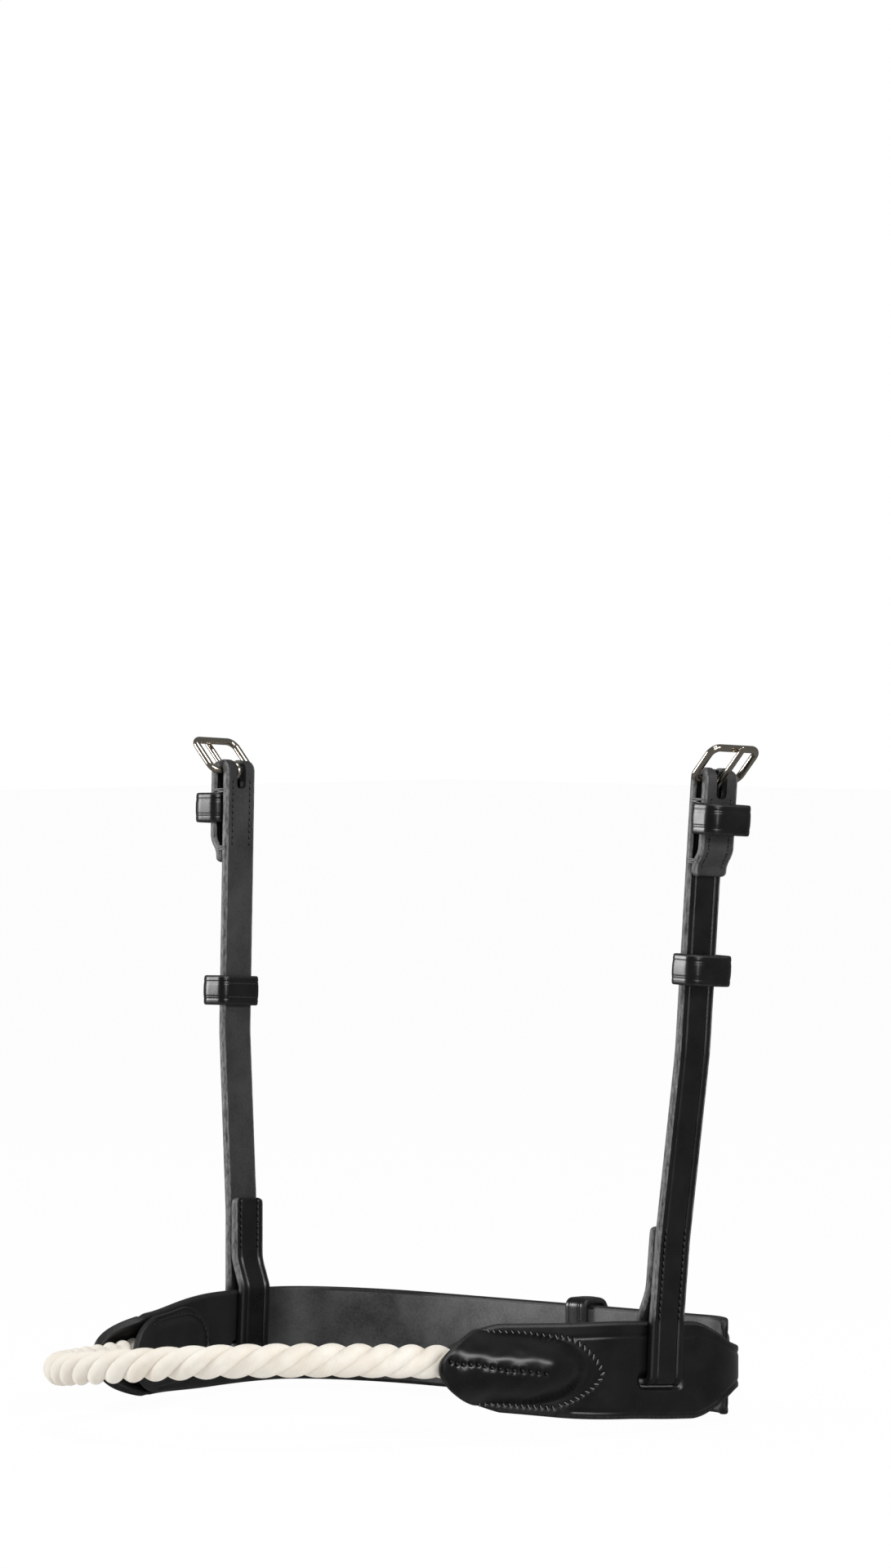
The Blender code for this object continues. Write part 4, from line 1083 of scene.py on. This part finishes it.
HANGER_LINE = Line(hanger_points())
run_start = distance_near(HANGER_LINE, (RUN_OFFSET, BAND_TOP))
loop_middle, loop_reach = (TURN_UP_LENGTH + run_start) / 2, (run_start - TURN_UP_LENGTH) / 2
# The hanger straps' edge has painted shade along the loop that lies in the slot.
HANGER_EDGE = make_cut_edge("strap_cut_edge_with_painted_shade_at_the_slot", *RAW_EDGE, (loop_middle, loop_reach))
strap_places = {}
for name, pivot in PIVOTS.items():
    source = f"{name}_hanger_strap"
    strap, strap_places[name] = strip_piece(f"{source}_leather", source, f"{name}_hanger", HANGER_LINE, pivot,
                                            HANGER_EDGE, TURN_DOWN_LENGTH)
    slit(strap, BARS[f"{name}_hanger"])
print("hanger strip", round(HANGER_LINE.length * 1000), "mm long")

# %% [markdown]
# The rear buckle sits on a short strip, the chape, folded in the same way and sewn to the band.
# %% Chape
CHAPE_LENGTH = 0.030
CHAPE_LINE = Line(fold_points(CHAPE_LENGTH, REAR_TURN_DOWN))
chape, chape_place = strip_piece("rear_chape_leather", "rear_buckle_chape", "ring", CHAPE_LINE, BARS["rear"],
                                 CUT_EDGE, REAR_TURN_DOWN)
slit(chape, BARS["rear"])

# %% [markdown]
# ## Keepers
#
# A keeper is a short leather loop that holds a strap's loose end. It is pressed on an iron former
# while damp, so its outside corners come out round and glossy, and a pair of lines is creased close
# to both edges. The fixed ones are tucked between the strap's two layers. The others are sewn into a
# ring and slide.
# %% Keepers
KEEPER_WIDTH, KEEPER_THICKNESS, KEEPER_TUCK = 0.010, 0.0018, 0.0045
BACK_CORNER, FRONT_CORNER = 0.0019, 0.0034
BILLET_ROOM, SLIDE_GAP = 0.0049, 0.0004
FIXED_DROP = 0.0125
KEEPER_LIFTS = {"near": 0.1327, "off": 0.1195}
REAR_KEEPER_WIDTH = 0.009
KEEPER_STEP = 0.0006
OUTER_LINE, OUTER_LINE_WIDTH = 0.0021, 0.00022
INNER_LINE, INNER_LINE_WIDTH = 0.0028, 0.00018
KEEPER_CROWN, KEEPER_LINE_DEPTH = 0.00026, 0.00015


def keeper_lines(width):
    """A creased pair of lines near both edges, and a slightly full middle."""
    def relief(distance, height):
        inset = width / 2 - np.abs(height)
        pair = valley(inset - OUTER_LINE, OUTER_LINE_WIDTH)
        pair = pair + 0.6 * valley(inset - INNER_LINE, INNER_LINE_WIDTH)
        crown = KEEPER_CROWN * (1 - (2 * height / width) ** 2)
        return crown - KEEPER_LINE_DEPTH * pair
    return relief


def keeper_piece(name, source, body, points, width, matrix, side, closed):
    line = Line(points)
    stations = crowded(line, KEEPER_STEP, 7)
    if not closed:
        stations = with_round_ends(stations, KEEPER_THICKNESS / 2)
    place = in_frame(matrix, line, keeper=True, closed=closed)
    piece = leather(name, stations, lambda s: np.full(np.shape(s), width / 2), place, side,
                    KEEPER_THICKNESS, relief=keeper_lines(width), edge_rows=14, edge_depth=0.0036,
                    middle_rows=4, closed=closed, finishes=(GRAIN, FLESH, DARK_EDGE))
    take_over(piece, body, source)
    return line, place


def fixed_keeper(name, body):
    wall = (STRAP_WIDTH + KEEPER_THICKNESS) / 2 + SLIDE_GAP
    outside = FOLD_RADIUS + STRAP_THICKNESS / 2 + BILLET_ROOM + KEEPER_THICKNESS / 2
    corners = [(0, -wall + KEEPER_TUCK), (0, -wall), (outside, -wall), (outside, wall), (0, wall),
               (0, wall - KEEPER_TUCK)]
    points = rounded(corners, [BACK_CORNER, FRONT_CORNER, FRONT_CORNER, BACK_CORNER])
    matrix = BARS[name] @ Matrix.Translation((0, 0, -FIXED_DROP))
    keeper_piece(f"{name}_fixed_loop", f"{name}_fixed_keeper", body, points, KEEPER_WIDTH, matrix, 1, False)


def running_keeper(name, matrix, width, back, front, half_width):
    back, front = -back - KEEPER_THICKNESS / 2, front + KEEPER_THICKNESS / 2
    wall = half_width + KEEPER_THICKNESS / 2
    corners = [(back, 0), (back, wall), (front, wall), (front, -wall), (back, -wall), (back, 0)]
    points = rounded(corners, [BACK_CORNER, FRONT_CORNER, FRONT_CORNER, BACK_CORNER])
    body = name.replace("_hanger", "")
    return keeper_piece(f"{name}_running_loop", f"{name}_running_keeper", f"{body}_running_keeper",
                        points, width, matrix, -1, True)


for name, body in (("near_hanger", "near_hanger"), ("off_hanger", "off_hanger"), ("rear", "ring")):
    fixed_keeper(name, body)
loops = {}
for name, lift in KEEPER_LIFTS.items():
    matrix = BARS[f"{name}_hanger"] @ Matrix.Translation((-FOLD_RADIUS, 0, lift - BAR_LIFT))
    gap = STRAP_THICKNESS / 2 + SLIDE_GAP
    loops[name] = running_keeper(f"{name}_hanger", matrix, KEEPER_WIDTH, gap, gap + BILLET_ROOM,
                                 STRAP_WIDTH / 2 + SLIDE_GAP)
running_keeper("rear", rear_matrix(REAR_KEEPER_X, 0), REAR_KEEPER_WIDTH, BAND_THICKNESS / 2 + SLIDE_GAP,
               BAND_THICKNESS / 2 + BILLET_ROOM, BAND_HEIGHT / 2 + SLIDE_GAP)

# %% [markdown]
# ## Buckles
#
# A wire buckle is bent by hand round a former, and Blender can follow the same steps: a circle is
# the end of the wire, Extrude draws it out straight and Spin bends it round a corner. Spin turns the
# other way from what its angle says, so the angle is negative for a turn from Y to Z. The tongue is
# a thinner wire, hooked round the bar and hammered a little flat at its tip.
# %% Wire bending helpers
FRAME_HALF_WIDTH, FRAME_CORNER = 0.0098, 0.0030
TONGUE_RADIUS, TONGUE_OVERHANG, TONGUE_HOOK_DEG = 0.0010, 0.0018, 250
TONGUE_OFFSET = WIRE_RADIUS + SEAT_GAP + TONGUE_RADIUS
HANGER_TILT = math.radians(42)
WIRE_SIDES = 20
CORNER_STEPS, HOOK_STEPS = 9, 30
TONGUE_FLAT_START = 0.004


def wire_end(name, radius, spot, across_y):
    """The round end of a wire, selected in edit mode. It faces along Y, or along Z."""
    bpy.ops.object.select_all(action="DESELECT")
    bpy.ops.mesh.primitive_circle_add(vertices=WIRE_SIDES, radius=radius)
    wire = bpy.context.object
    wire.name = wire.data.name = name
    bpy.ops.object.mode_set(mode="EDIT")
    bpy.ops.mesh.select_all(action="SELECT")
    if across_y:
        bpy.ops.transform.rotate(value=math.pi / 2, orient_axis="X", center_override=(0, 0, 0))
    bpy.ops.transform.translate(value=spot)
    return wire


def draw_out(y, z, steps=1):
    for _ in range(steps):
        bpy.ops.mesh.extrude_region_move(TRANSFORM_OT_translate={"value": (0, y / steps, z / steps)})


def bend(centre, axis, degrees, steps):
    bpy.ops.mesh.spin(steps=steps, angle=-math.radians(degrees), center=centre, axis=axis)


def finish_wire(wire, matrix, body, source):
    bpy.ops.mesh.select_all(action="SELECT")
    bpy.ops.mesh.remove_doubles(threshold=MERGE_DISTANCE * 10)
    bpy.ops.mesh.normals_make_consistent(inside=False)
    bpy.ops.object.mode_set(mode="OBJECT")
    bpy.ops.object.shade_smooth_by_angle(angle=math.radians(50))
    wire.data.transform(matrix)
    wire.data.materials.append(STEEL)
    take_over(wire, body, source)
    print(wire.name, len(wire.data.polygons), "faces")


# %% [markdown]
# The frame starts in the middle of its bar and goes round four corners back to it. The tongue starts
# as a hook round the bar, and its other end is drawn out, flattened in steps and closed.
# %% Frames and tongues
def buckle_frame(name, matrix, body):
    wire = wire_end(f"{name}_frame_wire", WIRE_RADIUS, (0, 0, 0), True)
    side, low, high = FRAME_HALF_WIDTH - FRAME_CORNER, FRAME_CORNER, FRAME_LENGTH - FRAME_CORNER
    draw_out(side, 0)
    for corner, run in (((side, low), (0, high - low)), ((side, high), (-2 * side, 0)),
                        ((-side, high), (0, low - high)), ((-side, low), (side, 0))):
        bend((0, *corner), (1, 0, 0), 90, CORNER_STEPS)
        draw_out(*run)
    finish_wire(wire, matrix, body, f"{name}_buckle_frame")


def buckle_tongue(name, matrix, body):
    wire = wire_end(f"{name}_tongue_wire", TONGUE_RADIUS, (TONGUE_OFFSET, 0, 0), False)
    bend((0, 0, 0), (0, 1, 0), TONGUE_HOOK_DEG, HOOK_STEPS)
    bpy.ops.mesh.edge_face_add()
    bpy.ops.mesh.select_all(action="DESELECT")
    bpy.ops.object.mode_set(mode="OBJECT")
    for point in wire.data.vertices:
        point.select = abs(point.co.z) < 1e-7 and point.co.x > 0
    bpy.ops.object.mode_set(mode="EDIT")
    draw_out(0, FRAME_LENGTH + WIRE_RADIUS - TONGUE_FLAT_START, 3)
    for reach, flat, wide in ((TONGUE_FLAT_START, 0.92, 1.02), (TONGUE_OVERHANG * 0.6, 0.8, 1.04),
                              (TONGUE_OVERHANG * 0.4, 0.7, 0.94), (0.00025, 0.6, 0.7)):
        draw_out(0, reach)
        bpy.ops.transform.resize(value=(flat, wide, 1), center_override=(TONGUE_OFFSET, 0, 0))
    bpy.ops.mesh.edge_face_add()
    finish_wire(wire, matrix, body, f"{name}_buckle_tongue")


def rear_tilt():
    """How far the rear frame lifts to clear the billet that passes inside it."""
    tilt = 0.0
    for _ in range(12):
        ahead = FRAME_LENGTH * math.cos(tilt)
        here = float(tail_lift(BAR_DISTANCE - ahead))
        slope = math.atan((float(tail_lift(BAR_DISTANCE - ahead + WIRE_RADIUS)) - here) / WIRE_RADIUS)
        room = (BAND_THICKNESS / 2 + SLIDE_GAP + WIRE_RADIUS) / math.cos(slope)
        lift = TAIL_OFFSET + here + room - REAR_BAR_OUT
        tilt = math.asin(min(max(lift / FRAME_LENGTH, 0.0), 0.9))
    return tilt


TILTED = {}
for name, bar in BARS.items():
    tilt = rear_tilt() if name == "rear" else HANGER_TILT
    TILTED[name] = bar @ Matrix.Rotation(tilt, 4, "Y")
    body = name.replace("_hanger", "")
    buckle_frame(name, TILTED[name], f"{body}_frame")
    buckle_tongue(name, TILTED[name], f"{body}_tongue")

# %% [markdown]
# ## Slots and holes
#
# The slots for the hangers and the holes of the billet are cut right through, so each is a Boolean
# with a shaped cutter. The cut wall is dyed and burnished, as the edges of the bands are.
# %% Slots and punched holes
SLOT_HEIGHT, SLOT_PLAY, SLOT_CORNER = 0.0040, 0.0018, 0.0018
BILLET_HOLE_RADIUS, BILLET_HOLE_PITCH, BILLET_HOLES = 0.0018, 0.018, 3
TONGUE_HOLE_RADIUS, TONGUE_HOLE_AIM = TONGUE_RADIUS + 0.0013, math.radians(3.5)


def punch(radius, length, matrix):
    bpy.ops.object.select_all(action="DESELECT")
    bpy.ops.mesh.primitive_cylinder_add(vertices=28, radius=radius, depth=length)
    tool = bpy.context.object
    tool.data.transform(matrix)
    return tool


slot_size = (BAND_THICKNESS + 2 * CUT_OVERRUN, STRAP_WIDTH + 2 * SLOT_PLAY, SLOT_HEIGHT)
for name, band in (("near", near_band), ("off", off_band)):
    cut(band, box_cutter(slot_size, (0, 0, 0), PIVOTS[name], SLOT_CORNER))
tongue_middle = Matrix.Translation((TONGUE_OFFSET, 0, FRAME_LENGTH / 2))
tongue_path = Matrix.Rotation(TONGUE_HOLE_AIM, 4, "Y") @ tongue_middle
cut(near_band, punch(TONGUE_HOLE_RADIUS, FRAME_LENGTH * 1.5, TILTED["rear"] @ tongue_path))
for index in range(BILLET_HOLES):
    spot = rear_matrix(REAR_BAR_X - BILLET_HOLE_PITCH * (index + 1), 0)
    through = spot @ Matrix.Rotation(math.radians(90), 4, "Y")
    cut(near_band, punch(BILLET_HOLE_RADIUS, 2 * (TAIL_RISE + TAIL_OFFSET + BAND_THICKNESS), through))
print("near band after cutting", len(near_band.data.polygons), "faces")

# %% [markdown]
# ## Stitching
#
# Saddle stitching leaves short slanted threads, each diving into an awl hole at both ends. One
# stitch is modelled once, as a small spindle, and copied along the seam: turned to the seam's
# direction, slanted, and sunk a little into the leather. A dark flattened bead is painted shade for each
# hole.
# %% Sewing helper
def face_of(place, side, thickness):
    """A face of leather, as a function that sew can ask for a place on it."""
    return lambda distance, height: on_leather(place, side, thickness / 2, distance, height)


def bead():
    """A small round shape with few faces."""
    bpy.ops.object.select_all(action="DESELECT")
    bpy.ops.mesh.primitive_uv_sphere_add(segments=8, ring_count=6, radius=1)
    shape = bpy.context.object
    points = np.array([point.co for point in shape.data.vertices])
    faces = [list(face.vertices) for face in shape.data.polygons]
    bpy.data.objects.remove(shape)
    return points, faces


BEAD_POINTS, BEAD_FACES = bead()
# Size of the dark bead that paints the shade inside each awl hole.
HOLE_RADIUS, HOLE_DEPTH, HOLE_LIFT = 0.00036, 0.00009, 0.00001


def painted_awl_hole_shade():
    finish, tree, shader = new_finish("painted_shade_in_awl_hole")
    place = node(tree, "ShaderNodeTexCoord").outputs["Object"]
    colour = blend_colours(tree, noise(tree, place, 3000, 2), linear("050505"), linear("0e0e0e"))
    tree.links.new(colour, shader.inputs["Base Color"])
    shader.inputs["Roughness"].default_value = 0.9
    shader.inputs["Specular IOR Level"].default_value = 0.1
    return finish


AWL_HOLE_SHADE = painted_awl_hole_shade()


def sew(name, body, slot, face, points, aims, length, radius=0.00033, slant_deg=0.0, thread=THREAD,
        sink=0.3, hole_shades=True):
    """A seam. points and aims lie flat on the leather, and face puts them in space."""
    spots, along, across, outward = face(points[:, 0], points[:, 1])
    run = unit(along * aims[:, :1] + across * aims[:, 1:])
    beside = np.cross(outward, run)
    slant = math.radians(slant_deg)
    aim = run * math.cos(slant) + beside * math.sin(slant)
    aside = np.cross(outward, aim)
    vertices, faces, finishes = [], [], []

    def add(spot, axes, finish):
        start = len(vertices) * len(BEAD_POINTS)
        vertices.append(BEAD_POINTS @ np.array(axes) + spot)
        faces.extend([[start + index for index in face_points] for face_points in BEAD_FACES])
        finishes.extend([finish] * len(BEAD_FACES))

    for index in range(len(spots)):
        out = outward[index]
        stitch = (aside[index] * radius, out * radius, aim[index] * length / 2)
        add(spots[index] + out * radius * (1 - 2 * sink), stitch, 0)
        if hole_shades:
            # A dark bead as painted shade inside the awl hole.
            hole = (aside[index] * HOLE_RADIUS, aim[index] * HOLE_RADIUS, out * HOLE_DEPTH)
            add(spots[index] - aim[index] * length / 2 + out * HOLE_LIFT, hole, 1)
    mesh = bpy.data.meshes.new(name)
    mesh.from_pydata(np.vstack(vertices), [], faces)
    mesh.materials.append(thread)
    mesh.materials.append(AWL_HOLE_SHADE)
    mesh.polygons.foreach_set("material_index", finishes)
    piece = bpy.data.objects.new(name, mesh)
    bpy.context.scene.collection.objects.link(piece)
    bpy.ops.object.select_all(action="DESELECT")
    bpy.context.view_layer.objects.active = piece
    piece.select_set(True)
    bpy.ops.object.mode_set(mode="EDIT")
    bpy.ops.mesh.select_all(action="SELECT")
    bpy.ops.mesh.normals_make_consistent(inside=False)
    bpy.ops.object.mode_set(mode="OBJECT")
    bpy.ops.object.shade_smooth()
    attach(piece, body)
    print(name, len(spots), "stitches")


# %% [markdown]
# Each pocket is sewn in three runs: one along its top and round its end in a D, a shorter row below,
# and deep stitches along the crown, through the rope, so that it can't slip. The same thread shows
# inside, round the lining.
# %% Pocket seams
NEAR_LINING_START, NEAR_LINING_SHARE = 0.022, 0.86

for name, place, side, sag in (("near", near_place, 1, near_sag), ("off", off_place, -1, zero)):
    face, lean = face_of(place, side, BAND_THICKNESS), -side
    for run, seam, slant in (("pocket_seam", POCKET_SEAM, 55), ("pocket_lower_seam", LOWER_SEAM, 60)):
        points, aims = evenly(seam, STITCH_PITCH, sag)
        sew(f"{name}_{run}", "ring", f"{name}_band", face, points, aims, 0.0020, radius=0.00023,
            slant_deg=lean * slant, thread=THREAD_PAINTED_WITH_HIGHLIGHT)
    points, aims = evenly(CROWN_SEAM, CROWN_PITCH, sag)
    sew(f"{name}_crown_seam", "ring", f"{name}_band", face, points, aims, 0.0016, slant_deg=lean * 35,
        sink=0.7)
points, aims = evenly(LINING_SEAM, STITCH_PITCH)
inner = points[:, 0] > NEAR_LINING_START
near_points = points[inner] * (1, NEAR_LINING_SHARE)
for name, points, aims in (("off", points, aims), ("near", near_points, aims[inner])):
    face = face_of(lining_places[name], -LININGS[name][0], LINING_THICKNESS)
    sew(f"{name}_lining_seam", "ring", f"{name}_rope_lining", face, points, aims, 0.0015, radius=0.00024)


# %% [markdown]
# The straps' layers are sewn together in two rows, one in each creased line, at the slot and below
# the fold. The grain side has the longer, slanted stitches.
# %% Strap seams
GRAIN_FACE = (-1, STRAP_THICKNESS - STRAP_LINE_DEPTH)
FLESH_FACE = (1, STRAP_THICKNESS)
GRAIN_STITCH = {"length": 0.0017, "slant_deg": 18}
FLESH_STITCH = {"length": 0.0015, "radius": 0.00026}


def two_rows(distances, height):
    """Spots along a strap at two heights, and their direction."""
    points = np.vstack([np.column_stack((distances, np.full(len(distances), level)))
                        for level in (-height, height)])
    return points, np.tile((1.0, 0.0), (len(points), 1))


def strap_rows(start, end):
    return two_rows(np.arange(start, end, STITCH_PITCH), STRAP_LINE_HEIGHT)


end_length = HANGER_LINE.length
fold_top = end_length - TURN_DOWN_LENGTH - math.pi * FOLD_RADIUS / 2 - FOLD_RADIUS
STRAP_SEAMS = {
    "strap_outer_rows": (GRAIN_FACE, GRAIN_STITCH, run_start + 0.0020, run_start + TURN_UP_LENGTH),
    "turn_up_rows": (GRAIN_FACE, GRAIN_STITCH, 0.0015, TURN_UP_LENGTH - 0.0130),
    "strap_inner_rows": (FLESH_FACE, FLESH_STITCH, fold_top - 0.0262, fold_top - 0.0035),
    "turned_end_rows": (FLESH_FACE, FLESH_STITCH, end_length - 0.0245, end_length - 0.0016),
}
for name, place in strap_places.items():
    for seam, (face, stitch, start, end) in STRAP_SEAMS.items():
        sew(f"{name}_{seam}", f"{name}_hanger", f"{name}_hanger_strap", face_of(place, *face),
            *strap_rows(start, end), **stitch)
sew("chape_rows", "ring", "rear_buckle_chape", face_of(chape_place, *FLESH_FACE),
    *strap_rows(CHAPE_LINE.length - 0.0200, CHAPE_LINE.length - 0.0016), **FLESH_STITCH)

# %% [markdown]
# The sliding keepers are closed by two short rows on the side towards the horse, and each pair of
# strap layers is bound at both edges with a few turns of thread, above and below the fixed keeper.
# %% Keeper seams and bindings
KEEPER_ROW_PITCH, KEEPER_ROW_END, KEEPER_ROW_HEIGHT = 0.0015, 0.0066, 0.0023
BINDINGS = {"upper": (0.0068, 0.0, 0.0070), "lower": (0.0262, -0.0011, 0.0048)}
BINDING_PITCH, BINDING_SLANT = 0.00055, 0.12


def edge_face(bar, side):
    """The cut edge of a strap beside its bar, as a face to sew on."""
    def face(out, along):
        local = np.stack(np.broadcast_arrays(out, side * STRAP_WIDTH / 2, along), -1)
        ways = [np.broadcast_to(way, local.shape) for way in (bar[:3, 0], bar[:3, 2], bar[:3, 1] * side)]
        return local @ bar[:3, :3].T + bar[:3, 3], *ways
    return face


for name, (line, place) in loops.items():
    across = np.r_[np.arange(0.0004, KEEPER_ROW_END, KEEPER_ROW_PITCH),
                   line.length - np.arange(0.0011, KEEPER_ROW_END, KEEPER_ROW_PITCH)]
    sew(f"{name}_keeper_rows", f"{name}_running_keeper", f"{name}_hanger_running_keeper",
        face_of(place, -1, KEEPER_THICKNESS), *two_rows(across, KEEPER_ROW_HEIGHT), 0.0012, radius=0.00022)
    bar = np.array(BARS[f"{name}_hanger"])
    for side, edge_name in ((1, "rear"), (-1, "front")):
        for place_name, (drop, middle, reach) in BINDINGS.items():
            spots = np.array([(middle, -drop + turn * BINDING_PITCH) for turn in (-1, 0, 1)])
            aims = unit(np.array([(1.0, BINDING_SLANT * turn) for turn in (-1, 1, 0)]))
            sew(f"{name}_{place_name}_binding_{edge_name}", f"{name}_hanger", f"{name}_hanger_strap",
                edge_face(bar, side), spots, aims, reach, radius=0.00024, thread=PALE_THREAD, hole_shades=False)

# %% [markdown]
# ## Studio
#
# A white sweep and large soft lamps. Where the camera looks straight at the background, Light Path
# makes it plain white without adding light to the object. The floor mixes that white with a real
# diffuse surface, so a faint shadow stays. Black leather and polished steel look like what they
# mirror, and an all-white room turns both grey, so in reflections the room is dim. The strip lamp
# then draws one soft highlight along the swollen pocket.
# %% Floor, lamps and world
FLOOR_GAP = 0.0003
FLOOR_WHITE = 0.965
WORLD_LIGHT, MIRRORED_ROOM = 0.40, 0.16
LAMP_AIM = Vector((0, 0, 0.05))
floor_height = CAD_BOX[0][2] - FLOOR_GAP
bpy.ops.object.select_all(action="DESELECT")
bpy.ops.mesh.primitive_plane_add(size=12, location=(0, 0, floor_height))
floor = bpy.context.object
floor.name = "floor"
floor_finish, tree, shader = new_finish("white_paper_sweep")
shader.inputs["Base Color"].default_value = linear("f2f2f2")
shader.inputs["Roughness"].default_value = 0.8
rays = node(tree, "ShaderNodeLightPath")
seen = calculate(tree, "MAXIMUM", rays.outputs["Is Camera Ray"], rays.outputs["Is Glossy Ray"])
share = calculate(tree, "MULTIPLY", seen, FLOOR_WHITE)
mirrored = remap(tree, rays.outputs["Is Glossy Ray"], 0, 1, 1.0, MIRRORED_ROOM)
glow = node(tree, "ShaderNodeEmission", {"Color": (1, 1, 1, 1), "Strength": mirrored})
mixed = node(tree, "ShaderNodeMixShader", {"Fac": share})
tree.links.new(shader.outputs["BSDF"], mixed.inputs[1])
tree.links.new(glow.outputs[0], mixed.inputs[2])
tree.links.new(mixed.outputs[0], tree.nodes["Material Output"].inputs["Surface"])
floor.data.materials.append(floor_finish)

world = bpy.data.worlds.new("white_room")
bpy.context.scene.world = world
world.use_nodes = True
tree = world.node_tree
rays = node(tree, "ShaderNodeLightPath")
lit = remap(tree, rays.outputs["Is Camera Ray"], 0, 1, WORLD_LIGHT, 1.0)
dimmed = calculate(tree, "MULTIPLY_ADD", rays.outputs["Is Glossy Ray"], MIRRORED_ROOM - WORLD_LIGHT, lit)
tree.links.new(dimmed, tree.nodes["Background"].inputs["Strength"])
tree.nodes["Background"].inputs["Color"].default_value = (1, 1, 1, 1)

LAMPS = {
    "key": ((-1.30, -1.09, 0.40), (0.50, 0.70), 18),
    "top": ((0.30, -0.30, 1.65), (0.60, 0.60), 9),
    "strip": ((1.45, -0.25, 0.82), (1.60, 0.42), 16),
    "upright": ((1.72, -0.52, 0.35), (0.12, 0.80), 4),
}
for name, (spot, size, power) in LAMPS.items():
    lamp_data = bpy.data.lights.new(name, "AREA")
    lamp_data.shape = "RECTANGLE"
    lamp_data.size, lamp_data.size_y = size
    lamp_data.energy = power
    lamp = bpy.data.objects.new(name, lamp_data)
    lamp.location = spot
    lamp.rotation_euler = (LAMP_AIM - Vector(spot)).to_track_quat("-Z", "Y").to_euler()
    bpy.context.scene.collection.objects.link(lamp)
